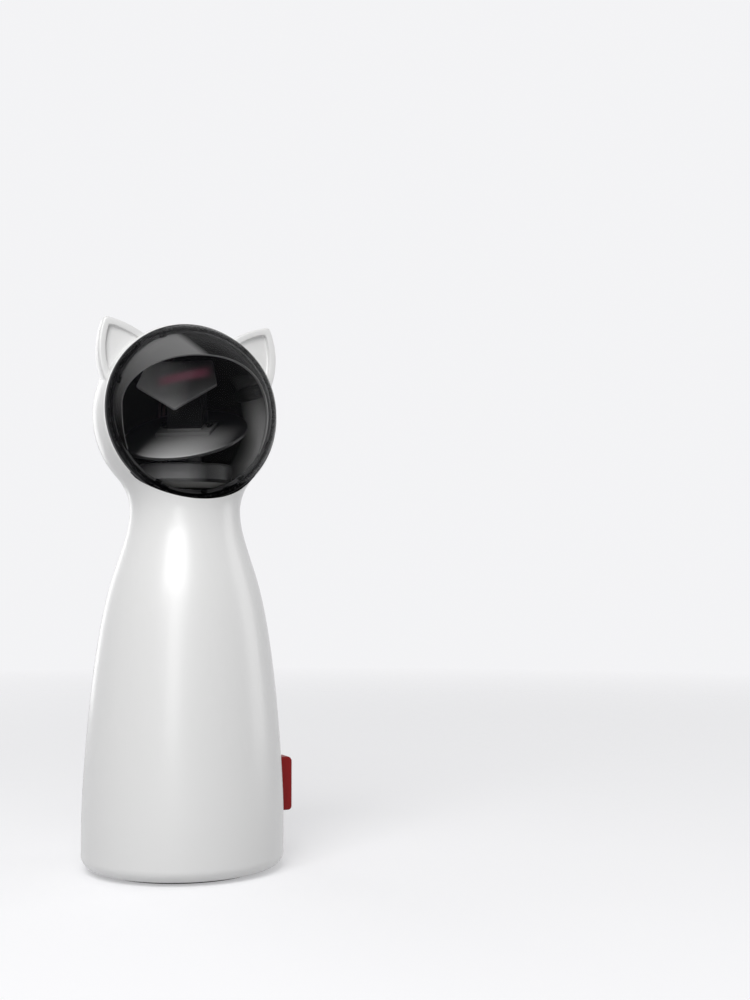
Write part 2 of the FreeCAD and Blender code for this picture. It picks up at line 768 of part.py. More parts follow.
def battery_cover():
    """Round twist-lock cover with its lugs and a coin slot."""
    parts = [cyl(COVER_R, COVER_Z, COVER_TOP), cyl(COVER_BOSS_R, COVER_TOP, LUG_TOP)]
    for k in range(LUG_COUNT):
        parts.append(sector(COVER_BOSS_R - 1.0, LUG_R, LUG_Z, LUG_TOP, k * 360.0 / LUG_COUNT, LUG_ANGLE))
    cover = join(parts)
    half_l, half_w = COIN_SLOT_L / 2, COIN_SLOT_W / 2
    slot = block(-half_l, half_l, -half_w, half_w, COVER_Z, COVER_Z + COIN_SLOT_DEPTH)
    return cover.cut(slot)


def cell_points():
    """Places of the cells around the axis."""
    return [polar(CELL_RING, 90.0 + k * 360.0 / CELL_COUNT) for k in range(CELL_COUNT)]


def cover_contacts():
    """Sprung contact plate on the cover, with one cone under each cell."""
    plate = cyl(CELL_RING + 4.0, LUG_TOP, LUG_TOP + CONTACT_T)
    cones = []
    for x, y in cell_points():
        cones.append(Part.makeCone(3.2, 1.4, LEAF_H - 0.4, V(x, y, LUG_TOP + CONTACT_T)))
    return join([plate] + cones)


def battery_holder():
    """Tube that the cells stand in, with its feet and the board's posts."""
    parts = [cyl(HOLDER_R, HOLDER_Z, HOLDER_TOP)]
    for k, (x, y) in enumerate(base_screw_points()):
        parts.append(cyl(POST_R, BASE_TOP_Z, BASE_TOP_Z + POST_H, x, y))
        web_low, web_high = BASE_TOP_Z + HOLDER_FOOT_GAP, BASE_TOP_Z + POST_H - POST_WEB_DROP
        web = block(HOLDER_IN_R, BASE_SCREW_RING, -POST_WEB_T / 2, POST_WEB_T / 2, web_low, web_high)
        web.rotate(V(0, 0, 0), V(0, 0, 1), 45.0 + 90.0 * k)
        parts.append(web)
    for y, z in BOARD_HOLES:
        parts.append(rod_x(BOARD_POST_R, 0, BOARD_X, y, z))
    holder = join(parts).cut(cyl(HOLDER_IN_R, HOLDER_Z, HOLDER_CEILING))
    for x, y in base_screw_points():
        holder = holder.cut(cyl(SCREW_R, BASE_TOP_Z, BASE_TOP_Z + POST_H, x, y))
    for y, z in BOARD_HOLES:
        holder = holder.cut(rod_x(SMALL_SCREW_R, BOARD_X + BOARD_T - BOARD_SCREW_L, BOARD_X, y, z))
    return holder


def battery_cells():
    """The round cells, each with its nub up."""
    cells = []
    for x, y in cell_points():
        can = cyl(CELL_R, CELL_Z, CELL_TOP, x, y)
        rims = [e for e in can.Edges if e.Curve.TypeId == "Part::GeomCircle"]
        can = can.makeFillet(0.6, rims)
        cells.append(join([can, cyl(CELL_NUB_R, CELL_TOP - 0.2, CONTACT_Z, x, y)]))
    return group(cells)


def top_contacts():
    """Contact discs under the holder's ceiling."""
    return group([cyl(CELL_NUB_R + 2.0, CONTACT_Z, HOLDER_CEILING, x, y) for x, y in cell_points()])


def base_screws():
    """Screws from below that hold the battery holder on the base."""
    length = BASE_TOP_Z - BASE_SEAT_Z + POST_H - SCREW_TIP_GAP
    size = (length, SCREW_R, SCREW_HEAD_R, SCREW_HEAD_T)
    return group([placed_screw(V(x, y, BASE_SEAT_Z), V(0, 0, 1), *size) for x, y in base_screw_points()])


# ================================================================ electronics
def main_board():
    """Upright circuit board beside the battery holder."""
    board = block(BOARD_X, BOARD_X + BOARD_T, -BOARD_W / 2, BOARD_W / 2, BOARD_Z0, BOARD_Z0 + BOARD_H)
    upright = [e for e in board.Edges if abs(e.tangentAt(e.FirstParameter).x) > 0.9]
    board = board.makeFillet(BOARD_ROUND, upright)
    for y, z in BOARD_HOLES:
        board = board.cut(rod_x(SMALL_SCREW_R, BOARD_X, BOARD_X + BOARD_T, y, z))
    return board


def board_components():
    """Chips, a capacitor and the lead connectors on the main board."""
    x0 = BOARD_X + BOARD_T
    middle = BOARD_Z0 + BOARD_H / 2
    parts = [rod_x(CAPACITOR_R, x0, x0 + CAPACITOR_L, CAPACITOR_Y, middle)]
    for height, y0, y1, z0, z1 in BOARD_CHIPS:
        parts.append(block(x0, x0 + height, y0, y1, middle + z0, middle + z1))
    return group(parts)


def board_screws():
    """Screws of the main board."""
    x0 = BOARD_X + BOARD_T
    size = (BOARD_SCREW_L, SMALL_SCREW_R, SMALL_HEAD_R, SMALL_HEAD_T)
    return group([placed_screw(V(x0, y, z), V(-1, 0, 0), *size) for y, z in BOARD_HOLES])


SWITCH_FACE_X = BOARD_X + BOARD_T + SWITCH_BODY_T
LEVER_X = SWITCH_FACE_X - SWITCH_SLOT_DEPTH + 0.2
LEVER_END_X = PAD_IN_X - CATCH_T - CAP_GAP - 2.0
STEM_END_X = LEVER_END_X - LEVER_GRIP


def slide_switch():
    """Body of the slide switch, soldered on the main board."""
    x0 = BOARD_X + BOARD_T
    half_w, half_h = SWITCH_BODY_W / 2, SWITCH_BODY_H / 2
    body = block(x0, SWITCH_FACE_X, -half_w, half_w, SWITCH_Z - half_h, SWITCH_Z + half_h)
    slot_h = LEVER_H / 2 + SWITCH_TRAVEL + CAP_GAP
    slot_w = LEVER_W / 2 + CAP_GAP
    x1 = SWITCH_FACE_X - SWITCH_SLOT_DEPTH
    return body.cut(block(x1, SWITCH_FACE_X, -slot_w, slot_w, SWITCH_Z - slot_h, SWITCH_Z + slot_h))


def switch_lever():
    """Lever of the slide switch, held in the cap's stem."""
    half_w, half_h = LEVER_W / 2, LEVER_H / 2
    return block(LEVER_X, LEVER_END_X, -half_w, half_w, SWITCH_Z - half_h, SWITCH_Z + half_h)


def switch_cap():
    """Red cap that the user slides, with its stem and the catch inside the wall."""
    half_w, half_h = CAP_W / 2, CAP_H / 2
    cap = block(CAP_IN_X, CAP_OUT_X, -half_w, half_w, SWITCH_Z - half_h, SWITCH_Z + half_h)
    ends = []
    for edge in cap.Edges:
        along_y = abs(edge.tangentAt(edge.FirstParameter).y) > 0.9
        if along_y and edge.CenterOfMass.x > CAP_OUT_X - 0.1:
            ends.append(edge)
    cap = cap.makeChamfer(CAP_CHAMFER / 2, ends)
    rounded = [e for e in cap.Edges if e.CenterOfMass.x > CAP_IN_X + 0.1]
    cap = cap.makeFillet(CAP_ROUND, rounded)
    stem_w, stem_h = STEM_W / 2, STEM_H / 2
    stem = block(STEM_END_X, CAP_IN_X + 1.0, -stem_w, stem_w, SWITCH_Z - stem_h, SWITCH_Z + stem_h)
    catch_x = PAD_IN_X - CAP_GAP
    catch_w, catch_h = stem_w + CATCH_LIP, stem_h + CATCH_LIP
    catch = block(catch_x - CATCH_T, catch_x, -catch_w, catch_w, SWITCH_Z - catch_h, SWITCH_Z + catch_h)
    grip_w, grip_h = LEVER_W / 2 + LEVER_FIT, LEVER_H / 2 + LEVER_FIT
    grip = block(STEM_END_X, LEVER_END_X, -grip_w, grip_w, SWITCH_Z - grip_h, SWITCH_Z + grip_h)
    return join([cap, stem, catch]).cut(grip)


def port_hole():
    """Opening in the rear shell for the charging plug."""
    half_w, half_h = PORT_HOLE_W / 2, PORT_HOLE_H / 2
    hole = block(-half_w, half_w, PORT_FACE_Y - 1.0, FAR, PORT_MIDDLE_Z - half_h, PORT_MIDDLE_Z + half_h)
    corners = [e for e in hole.Edges if abs(e.tangentAt(e.FirstParameter).y) > 0.9]
    return hole.makeFillet(PORT_HOLE_ROUND, corners)


def usb_board():
    """Small charge board on the base, behind the battery holder."""
    half_w = PORT_BOARD_W / 2
    board = block(-half_w, half_w, PORT_BOARD_Y, PORT_BOARD_Y + PORT_BOARD_L, PORT_BOARD_Z, PORT_Z)
    for x, y in port_screw_points():
        board = board.cut(cyl(SMALL_SCREW_R, PORT_BOARD_Z, PORT_Z, x, y))
    return board


def usb_socket():
    """Metal charging socket, open to the rear, with its tongue."""
    half_w = PORT_W / 2
    shell = block(-half_w, half_w, PORT_FACE_Y - PORT_L, PORT_FACE_Y, PORT_Z, PORT_Z + PORT_H)
    corners = [e for e in shell.Edges if abs(e.tangentAt(e.FirstParameter).y) > 0.9]
    shell = shell.makeFillet(0.7, corners)
    inside_w = half_w - PORT_WALL
    mouth_y = PORT_FACE_Y - PORT_L + 1.2
    mouth = block(-inside_w, inside_w, mouth_y, PORT_FACE_Y, PORT_Z + PORT_WALL, PORT_Z + PORT_H - PORT_WALL)
    tongue = block(-2.2, 2.2, mouth_y, PORT_FACE_Y - 0.8, PORT_MIDDLE_Z, PORT_MIDDLE_Z + 0.6)
    return join([shell.cut(mouth), tongue])


def usb_screws():
    """Screws of the charge board."""
    size = (PORT_BOARD_LIFT + BOARD_T - 0.3, SMALL_SCREW_R, SMALL_HEAD_R, SMALL_HEAD_T)
    return group([placed_screw(V(x, y, PORT_Z), V(0, 0, -1), *size) for x, y in port_screw_points()])


# ================================================================ gear train
DECK_TOP = DECK_Z + DECK_T
LOW_Z = DECK_TOP + DECK_GAP
LOW_TOP = LOW_Z + GEAR_T
HIGH_Z = LOW_TOP + GEAR_GAP
COVER_CEILING = COVER_TOP_Z - COVER_WALL
HIGH_TOP = COVER_CEILING - GEAR_GAP
DRUM_PITCH_R = MODULE * DRUM_TEETH / 2
IDLER_SMALL_R = MODULE * IDLER_SMALL_TEETH / 2
IDLER_LARGE_R = MODULE * IDLER_LARGE_TEETH / 2
PINION_PITCH_R = MODULE * PINION_TEETH / 2
IDLER_X = DRUM_PITCH_R + IDLER_SMALL_R
MOTOR_OFFSET = polar(IDLER_LARGE_R + PINION_PITCH_R, MOTOR_BEARING)
MOTOR_X = IDLER_X + MOTOR_OFFSET[0]
MOTOR_Y = MOTOR_OFFSET[1]
FLANK_POINTS = 5


def involute(angle):
    """Involute of a pressure angle, in radians."""
    return math.tan(angle) - angle


def gear_solid(teeth, z0, z1, bore_r, phase, x=0.0, y=0.0):
    """Spur gear with involute flanks. One tooth's middle points at the phase, in degrees."""
    pitch_r = MODULE * teeth / 2
    base_r = pitch_r * math.cos(math.radians(PRESSURE_ANGLE))
    tip_r = pitch_r + ADDENDUM * MODULE
    root_r = pitch_r - DEDENDUM * MODULE
    half_tooth = (math.pi * MODULE / 2 - BACKLASH) / (2 * pitch_r) + involute(math.radians(PRESSURE_ANGLE))
    start_r = max(base_r, root_r)
    flank = []
    for k in range(FLANK_POINTS):
        r = start_r + (tip_r - start_r) * k / (FLANK_POINTS - 1)
        flank.append((r, half_tooth - involute(math.acos(min(1.0, base_r / r)))))
    if root_r < base_r:
        flank.insert(0, (root_r, flank[0][1]))
    points = []
    for k in range(teeth):
        middle = math.radians(phase) + 2 * math.pi * k / teeth
        for r, half in flank:
            points.append(V(x + r * math.cos(middle - half), y + r * math.sin(middle - half), z0))
        for r, half in reversed(flank):
            points.append(V(x + r * math.cos(middle + half), y + r * math.sin(middle + half), z0))
    body = Part.Face(Part.makePolygon(points + [points[0]])).extrude(V(0, 0, z1 - z0))
    return body.cut(cyl(bore_r, z0, z1, x, y))


def mesh_phase(bearing, teeth_a, phase_a, teeth_b):
    """Phase of gear b in mesh with gear a, where b lies at the bearing from a."""
    share_a = (bearing - phase_a) * teeth_a / 360.0
    share_b = 0.5 - share_a
    return bearing + 180.0 - share_b * 360.0 / teeth_b


IDLER_PHASE = mesh_phase(0.0, DRUM_TEETH, 0.0, IDLER_SMALL_TEETH)
PINION_PHASE = mesh_phase(MOTOR_BEARING, IDLER_LARGE_TEETH, 0.0, PINION_TEETH)


def gear_deck():
    """Plate that carries the gears, the motor and the drum's axle."""
    parts = [
        cone(DECK_R - DECK_BEVEL, DECK_R, DECK_Z, DECK_TOP),
        cyl(AXLE_BOSS_R, DECK_TOP, LOW_TOP),
    ]
    parts += [cyl(DECK_EAR_R, DECK_Z, DECK_TOP, x, y) for x, y in deck_points()]
    deck = join(parts).cut(deck_pilots())
    deck = deck.cut(cyl(AXLE_R, DECK_Z, LOW_TOP)).cut(cyl(PIN_R, DECK_Z, DECK_TOP, IDLER_X, 0))
    deck = deck.cut(cyl(SHAFT_R + 0.4, DECK_Z, DECK_TOP, MOTOR_X, MOTOR_Y))
    for side in (-1, 1):
        x = MOTOR_X + side * MOTOR_SCREW_X
        deck = deck.cut(cyl(MOTOR_SCREW_R, DECK_Z, DECK_TOP, x, MOTOR_Y))
        deck = deck.cut(cyl(MOTOR_HEAD_R + 0.1, DECK_Z + DECK_T / 2, DECK_TOP, x, MOTOR_Y))
    return deck


def deck_screws():
    """Screws that hold the deck on the shells' brackets."""
    size = (DECK_T + LUG_BEAM_T, SMALL_SCREW_R, SMALL_HEAD_R, SMALL_HEAD_T)
    return group([placed_screw(V(x, y, DECK_TOP), V(0, 0, -1), *size) for x, y in deck_points()])


def gear_cover():
    """Drum-shaped cover over the gears, seen below the turntable."""
    bevel_top = DECK_TOP + COVER_BEVEL
    inner_r = COVER_OUT_R - COVER_WALL
    outer_foot = cone(COVER_OUT_R - COVER_BEVEL, COVER_OUT_R, DECK_TOP, bevel_top)
    outer = join([outer_foot, cyl(COVER_OUT_R, bevel_top, COVER_TOP_Z)])
    circles = [e for e in outer.Edges if e.Curve.TypeId == "Part::GeomCircle"]
    outer = outer.makeFillet(COVER_ROUND, [e for e in circles if e.CenterOfMass.z > COVER_TOP_Z - 0.1])
    inner_foot = cone(inner_r - COVER_BEVEL, inner_r, DECK_TOP, bevel_top)
    hollow = join([inner_foot, cyl(inner_r, bevel_top, COVER_CEILING)])
    return outer.cut(hollow).cut(cyl(HUB_R + HUB_GAP, COVER_CEILING, COVER_TOP_Z))


def drum_axle():
    """Fixed steel axle of the turntable."""
    return cyl(AXLE_R, DECK_Z, AXLE_TOP_Z).cut(tube(AXLE_R, AXLE_R - 0.35, CLIP_Z, CLIP_Z + CLIP_T))


def axle_clip():
    """Open retaining ring in the axle's groove."""
    ring = tube(CLIP_OUT_R, AXLE_R - 0.35, CLIP_Z, CLIP_Z + CLIP_T)
    return ring.cut(block(0, CLIP_OUT_R + 1.0, -0.8, 0.8, CLIP_Z, CLIP_Z + CLIP_T))


def drum_gear():
    """Gear and hub that turn the turntable."""
    gear = gear_solid(DRUM_TEETH, HIGH_Z, HIGH_TOP, AXLE_R + AXLE_FIT, 0.0)
    return join([gear, tube(HUB_R, AXLE_R + AXLE_FIT, HIGH_TOP - 0.5, HUB_TOP_Z)])


def idler_pin():
    """Steel pin of the idler."""
    return cyl(PIN_R, DECK_Z, HIGH_TOP, IDLER_X, 0)


def idler_gear():
    """Double gear between the motor and the drum."""
    bore = PIN_R + AXLE_FIT
    low = gear_solid(IDLER_LARGE_TEETH, LOW_Z, LOW_TOP, bore, 0.0, IDLER_X, 0)
    high = gear_solid(IDLER_SMALL_TEETH, LOW_TOP - 0.1, HIGH_TOP, bore, IDLER_PHASE, IDLER_X, 0)
    return join([low, high])


def motor_pinion():
    """Pinion pressed on the motor's shaft."""
    return gear_solid(PINION_TEETH, LOW_Z, LOW_TOP, SHAFT_R, PINION_PHASE, MOTOR_X, MOTOR_Y)


def motor_shaft():
    """Output shaft of the gear motor."""
    return cyl(SHAFT_R, DECK_Z - SHAFT_DEPTH, LOW_TOP, MOTOR_X, MOTOR_Y)


def gear_motor():
    """Small motor with its gearbox, hung under the deck."""
    x, y = MOTOR_X, MOTOR_Y
    z1 = DECK_Z - GEARBOX_L
    z0 = z1 - MOTOR_L
    gearbox = block(x - MOTOR_FLAT, x + MOTOR_FLAT, y - MOTOR_R, y + MOTOR_R, z1, DECK_Z)
    flats = block(x - MOTOR_FLAT, x + MOTOR_FLAT, y - MOTOR_R, y + MOTOR_R, z0, z1)
    can = cyl(MOTOR_R, z0, z1, x, y).common(flats)
    tail = cyl(MOTOR_CAP_R, z0 - MOTOR_CAP_L, z0, x, y)
    motor = join([gearbox, can, tail])
    motor = motor.cut(cyl(SHAFT_R + AXLE_FIT, DECK_Z - SHAFT_DEPTH - 0.2, DECK_Z, x, y))
    for side in (-1, 1):
        motor = motor.cut(cyl(MOTOR_SCREW_R, DECK_Z - 2.5, DECK_Z, x + side * MOTOR_SCREW_X, y))
    return motor


def motor_screws():
    """Sunk screws that hold the motor under the deck."""
    seat = DECK_Z + DECK_T / 2
    size = (DECK_T / 2 + 2.0, MOTOR_SCREW_R, MOTOR_HEAD_R, DECK_T / 2 - 0.1)
    xs = (MOTOR_X - MOTOR_SCREW_X, MOTOR_X + MOTOR_SCREW_X)
    return group([placed_screw(V(x, MOTOR_Y, seat), V(0, 0, -1), *size) for x in xs])


# ================================================================ rotor
SLANT = math.tan(math.radians(TABLE_SLANT))
SLOPE = math.tan(math.radians(MIRROR_SLOPE))
MIRROR_DROP = MIRROR_T / math.cos(math.radians(MIRROR_SLOPE))


def table_z(y):
    """Height of the turntable's upper face, drawn with its low side at -Y."""
    return TABLE_Z + SLANT * y


def mirror_back_z(y):
    """Height of the mirror plate's hidden face."""
    return MIRROR_Z + SLOPE * y - MIRROR_DROP


def turntable():
    """Slanted disc with the hub that sits on the drum gear."""
    reach = TABLE_R + 2.0
    section = [
        (-reach, table_z(-reach)),
        (reach, table_z(reach)),
        (reach, table_z(reach) - TABLE_T),
        (-reach, table_z(-reach) - TABLE_T),
    ]
    disc = prism_x(section, reach).common(cyl(TABLE_R, TABLE_HUB_Z - FAR, TABLE_HUB_Z + FAR))
    edges = [e for e in disc.Edges if e.CenterOfMass.z > table_z(0) - TABLE_T / 2 and e.Length > TABLE_R * 3]
    disc = disc.makeFillet(TABLE_ROUND, edges)
    under = [(-reach, TABLE_HUB_Z), (-reach, table_z(-reach)), (reach, table_z(reach)), (reach, TABLE_HUB_Z)]
    hub = cyl(TABLE_HUB_R, TABLE_HUB_Z, TABLE_HUB_Z + FAR).common(prism_x(under, reach))
    table = join([disc, hub])
    table = table.cut(cyl(HUB_R, TABLE_HUB_Z, HUB_TOP_Z))
    table = table.cut(cyl(CLIP_CAVITY_R, HUB_TOP_Z, AXLE_TOP_Z + CLIP_CAVITY_GAP))
    for x in (-TABLE_SCREW_X, TABLE_SCREW_X):
        table = table.cut(cyl(SMALL_SCREW_R, TABLE_Z - FAR, TABLE_Z + FAR, x, TABLE_SCREW_Y))
    return in_rotor_frame(table)


TABLE_SCREW_Y = (BRACKET_BACK - BRACKET_FRONT) / 2


def mirror_bracket():
    """Post that holds the mirror plate above the turntable."""
    top_y = MIRROR_UP * math.cos(math.radians(MIRROR_SLOPE)) - 1.0
    top_z = mirror_back_z(top_y)
    post = prism_x(
        [
            (-BRACKET_FRONT, table_z(-BRACKET_FRONT)),
            (-BRACKET_FRONT, mirror_back_z(-BRACKET_FRONT)),
            (top_y, top_z),
            (BRACKET_BACK, top_z),
            (BRACKET_BACK, table_z(BRACKET_BACK)),
        ],
        BRACKET_HALF_W,
    )
    y0, y1 = -BRACKET_FRONT - BRACKET_FOOT_MARGIN, BRACKET_BACK + BRACKET_FOOT_MARGIN
    z0, z1 = table_z(y0), table_z(y1)
    sole = [(y0, z0), (y0, z0 + BRACKET_FOOT_T), (y1, z1 + BRACKET_FOOT_T), (y1, z1)]
    foot = prism_x(sole, BRACKET_FOOT_HALF_W)
    half_cut = BRACKET_CUT_W / 2
    cut_y = BRACKET_BACK - BRACKET_CUT_DEPTH
    low, high = table_z(BRACKET_BACK) + 3.0, mirror_back_z(cut_y) - 2.0
    window = block(-half_cut, half_cut, cut_y, BRACKET_BACK + 1.0, low, high)
    bracket = join([post, foot]).cut(window)
    for x in (-TABLE_SCREW_X, TABLE_SCREW_X):
        bracket = bracket.cut(cyl(SMALL_SCREW_R, TABLE_Z - FAR, TABLE_Z + FAR, x, TABLE_SCREW_Y))
    return in_rotor_frame(bracket)


def turntable_screws():
    """Screws through the bracket's foot into the turntable."""
    tilt = math.radians(TABLE_SLANT)
    screws = []
    for x in (-TABLE_SCREW_X, TABLE_SCREW_X):
        seat = V(x, TABLE_SCREW_Y, table_z(TABLE_SCREW_Y) + BRACKET_FOOT_T + SMALL_HEAD_R * math.tan(tilt))
        screws.append(placed_screw(seat, V(0, 0, -1), TABLE_SCREW_L, SMALL_SCREW_R, SMALL_HEAD_R, SMALL_HEAD_T))
    return in_rotor_frame(group(screws))


def mirror_plate():
    """Tilted plate with a V-shaped lower edge that throws the beam forward."""
    outline = [
        V(-MIRROR_HALF_W, MIRROR_UP, 0),
        V(-MIRROR_HALF_W, -MIRROR_CORNER, 0),
        V(0, -MIRROR_VERTEX, 0),
        V(MIRROR_HALF_W, -MIRROR_CORNER, 0),
        V(MIRROR_HALF_W, MIRROR_UP, 0),
    ]
    plate = Part.Face(Part.makePolygon(outline + [outline[0]])).extrude(V(0, 0, -MIRROR_T))
    plate.rotate(V(0, 0, 0), V(1, 0, 0), MIRROR_SLOPE)
    plate.translate(V(0, 0, MIRROR_Z))
    return in_rotor_frame(plate)


# ================================================================ laser
BARREL_R = LASER_R + LASER_FIT + BARREL_WALL
LASER_LEAD_Z = LASER_BAR_TOP + 1.0


def laser_housing():
    """Barrel and bar that hold the laser under the top of the head."""
    barrel = cyl(BARREL_R, LASER_Z, LASER_Z + BARREL_L)
    reach = LASER_SCREW_X + LASER_BOSS_R
    half_w = LASER_BAR_W / 2
    bar = block(-reach, reach, -half_w, half_w, LASER_BAR_Z, LASER_BAR_TOP)
    housing = join([barrel, bar])
    housing = housing.cut(cyl(LASER_R + LASER_FIT, LASER_Z + LASER_LIP, LASER_Z + BARREL_L))
    notch_w = LEAD_STEP / 2 + LEAD_R + 0.2
    notch = block(-notch_w, notch_w, 0, BARREL_R + 1.0, LASER_LEAD_Z - LEAD_R - 0.2, LASER_Z + BARREL_L)
    return housing.cut(cyl(LASER_HOLE_R, LASER_Z, LASER_Z + LASER_LIP)).cut(laser_pilots()).cut(notch)


def laser_module():
    """Brass laser cartridge that points down at the mirror."""
    z0 = LASER_Z + LASER_LIP
    return cyl(LASER_R, z0, z0 + LASER_L)


def laser_lens():
    """Lens in the mouth of the laser."""
    z1 = LASER_Z + LASER_LIP
    return cyl(LENS_R, z1 - LENS_T, z1)


def laser_screws():
    """Screws from below that hold the laser bar."""
    size = (LASER_SCREW_L - 0.5, SMALL_SCREW_R, SMALL_HEAD_R, SMALL_HEAD_T)
    xs = (-LASER_SCREW_X, LASER_SCREW_X)
    return group([placed_screw(V(x, 0, LASER_BAR_Z), V(0, 0, 1), *size) for x in xs])


# ================================================================ leads
def lead(name, points, radius):
    """Round lead along straight runs joined by tangent arcs."""
    edges = []
    start = points[0]
    radii = []
    for before, corner, after in zip(points, points[1:], points[2:]):
        back, ahead = before.sub(corner), after.sub(corner)
        reach = ARC_SHARE * min(back.Length, ahead.Length)
        back.normalize()
        ahead.normalize()
        half_turn = (math.pi - back.getAngle(ahead)) / 2
        bend_r = reach / math.tan(half_turn)
        radii.append(bend_r)
        middle = back.add(ahead)
        middle.normalize()
        enter, leave = corner.add(back * reach), corner.add(ahead * reach)
        crest = corner.add(middle * (bend_r / math.cos(half_turn) - bend_r))
        edges.append(Part.LineSegment(start, enter).toShape())
        edges.append(Part.Arc(enter, crest, leave).toShape())
        start = leave
    edges.append(Part.LineSegment(start, points[-1]).toShape())
    path = Part.Wire(edges)
    ring = Part.Wire(Part.makeCircle(radius, points[0], points[1].sub(points[0])))
    solid = path.makePipeShell([ring], True, False)
    share = solid.Volume / (math.pi * radius**2 * path.Length)
    print(name, "radii", [round(r, 1) for r in radii], "length", round(path.Length, 1), "volume share", round(share, 3))
    return solid


def lead_pair(name, route, step):
    """Two leads side by side along one route."""
    shift = step * (LEAD_STEP / 2)
    pair = []
    for side in (-1, 1):
        pair.append(lead(name, [V(*p).add(shift * side) for p in route], LEAD_R))
    return group(pair)


def laser_leads():
    """Leads up the back of the neck and the head to the laser."""
    x0 = BOARD_X + BOARD_T / 2
    top_z = BOARD_Z0 + BOARD_H
    inner_r = HEAD_R - WALL - LEAD_R - 0.6
    neck_y = NECK_R - WALL - LEAD_R - 0.6
    route = [(x0, 9.0, top_z), (x0, 9.0, top_z + 9.0), (18.0, 11.0, top_z + 24.0), (6.0, 16.0, top_z + 43.0)]
    route += [(0, neck_y, NECK_Z - 14.0), (0, neck_y + 0.2, NECK_Z + 6.0)]
    for angle in (-44.0, -20.0, 6.0, 30.0, 52.0):
        y, dz = polar(inner_r, angle)
        route.append((0, y, HEAD_Z + dz))
    end_y = math.sqrt(LASER_R**2 - (LEAD_STEP / 2 - LEAD_R) ** 2)
    route += [(0, end_y + 8.0, LASER_LEAD_Z), (0, end_y, LASER_LEAD_Z)]
    return lead_pair("laser_leads", route, V(1, 0, 0))


def motor_leads():
    """Leads from the main board to the motor's tail."""
    x0 = BOARD_X + BOARD_T / 2
    top_z = BOARD_Z0 + BOARD_H
    end_z = DECK_Z - GEARBOX_L - MOTOR_L
    end_y = MOTOR_Y + MOTOR_CAP_R + 1.6
    route = [(x0, -6.0, top_z), (x0, -6.0, top_z + 9.0), (15.0, -3.0, top_z + 24.0), (8.0, 2.0, top_z + 40.0)]
    route += [(MOTOR_X, end_y, end_z - 11.0), (MOTOR_X, end_y, end_z)]
    return lead_pair("motor_leads", route, V(1, 0, 0))


def battery_leads():
    """Leads from the battery holder's top to the main board."""
    x0 = BOARD_X + BOARD_T / 2
    top_z = BOARD_Z0 + BOARD_H
    route = [(10.0, -3.0, HOLDER_TOP), (10.0, -3.0, HOLDER_TOP + 5.0), (15.6, -2.6, HOLDER_TOP + 9.4)]
    route += [(x0, -2.0, HOLDER_TOP + 5.4), (x0, -2.0, top_z)]
    return lead_pair("battery_leads", route, V(0, 1, 0))


# ================================================================ export
NODES = [
    front_shell,
    rear_shell,
    shell_screws,
    smoked_dome,
    dome_ring,
    bezel,
    base_plate,
    foot_ring,
    battery_cover,
    cover_contacts,
    battery_holder,
    battery_cells,
    top_contacts,
    base_screws,
    main_board,
    board_components,
    board_screws,
    slide_switch,
    switch_lever,
    switch_cap,
    usb_board,
    usb_socket,
    usb_screws,
    gear_deck,
    deck_screws,
    gear_cover,
    drum_axle,
    axle_clip,
    drum_gear,
    idler_pin,
    idler_gear,
    motor_pinion,
    motor_shaft,
    gear_motor,
    motor_screws,
    turntable,
    mirror_bracket,
    turntable_screws,
    mirror_plate,
    laser_housing,
    laser_module,
    laser_lens,
    laser_screws,
    laser_leads,
    motor_leads,
    battery_leads,
]

os.makedirs("parts", exist_ok=True)
for make in NODES:
    shape = make()
    shape.exportStep("parts/%s.step" % make.__name__)
    print("%-18s solids %2d volume %9.2f" % (make.__name__, len(shape.Solids), shape.Volume), shape.isValid())
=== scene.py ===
import math

import bmesh
import bpy
from mathutils import Matrix, Vector


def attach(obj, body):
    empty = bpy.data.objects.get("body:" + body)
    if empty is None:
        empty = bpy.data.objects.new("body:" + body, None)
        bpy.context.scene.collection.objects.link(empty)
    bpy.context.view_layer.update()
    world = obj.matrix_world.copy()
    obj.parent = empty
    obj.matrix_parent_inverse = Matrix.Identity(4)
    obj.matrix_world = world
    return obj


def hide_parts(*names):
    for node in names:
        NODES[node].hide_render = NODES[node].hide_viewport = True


# Automatic cat laser toy. Sizes are in millimetres and become metres when a mesh is made.
# The face looks along -Y, and the slide switch is on the +X side.

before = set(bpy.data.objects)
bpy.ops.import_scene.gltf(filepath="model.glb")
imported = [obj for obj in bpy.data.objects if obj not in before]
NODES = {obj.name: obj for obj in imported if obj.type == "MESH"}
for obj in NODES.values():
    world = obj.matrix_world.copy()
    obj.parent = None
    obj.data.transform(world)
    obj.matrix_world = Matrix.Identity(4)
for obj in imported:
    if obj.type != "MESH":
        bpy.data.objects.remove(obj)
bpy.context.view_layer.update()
SCENE = bpy.context.scene
MM = 0.001

# -------- sizes shared with the solids
BODY_R = 38.97
BODY_WIDEST_Z = 17.0
TORSO = [(BODY_R, BODY_WIDEST_Z), (38.2, 38.0), (36.0, 66.0), (32.9, 90.0), (28.4, 111.0), (23.8, 125.5)]
FOOT_ROUND = 5.0
SHELL_BOTTOM_Z = 1.2
WALL = 2.0
NECK_R = 21.5
NECK_ROUND = 20.0
HEAD_R = 36.1
HEAD_Z = 175.8
SPLIT_Y = 6.5
OPENING_R = 32.4
NECK_ARC_X = NECK_R + NECK_ROUND
NECK_Z = HEAD_Z - math.sqrt((HEAD_R + NECK_ROUND) ** 2 - NECK_ARC_X**2)

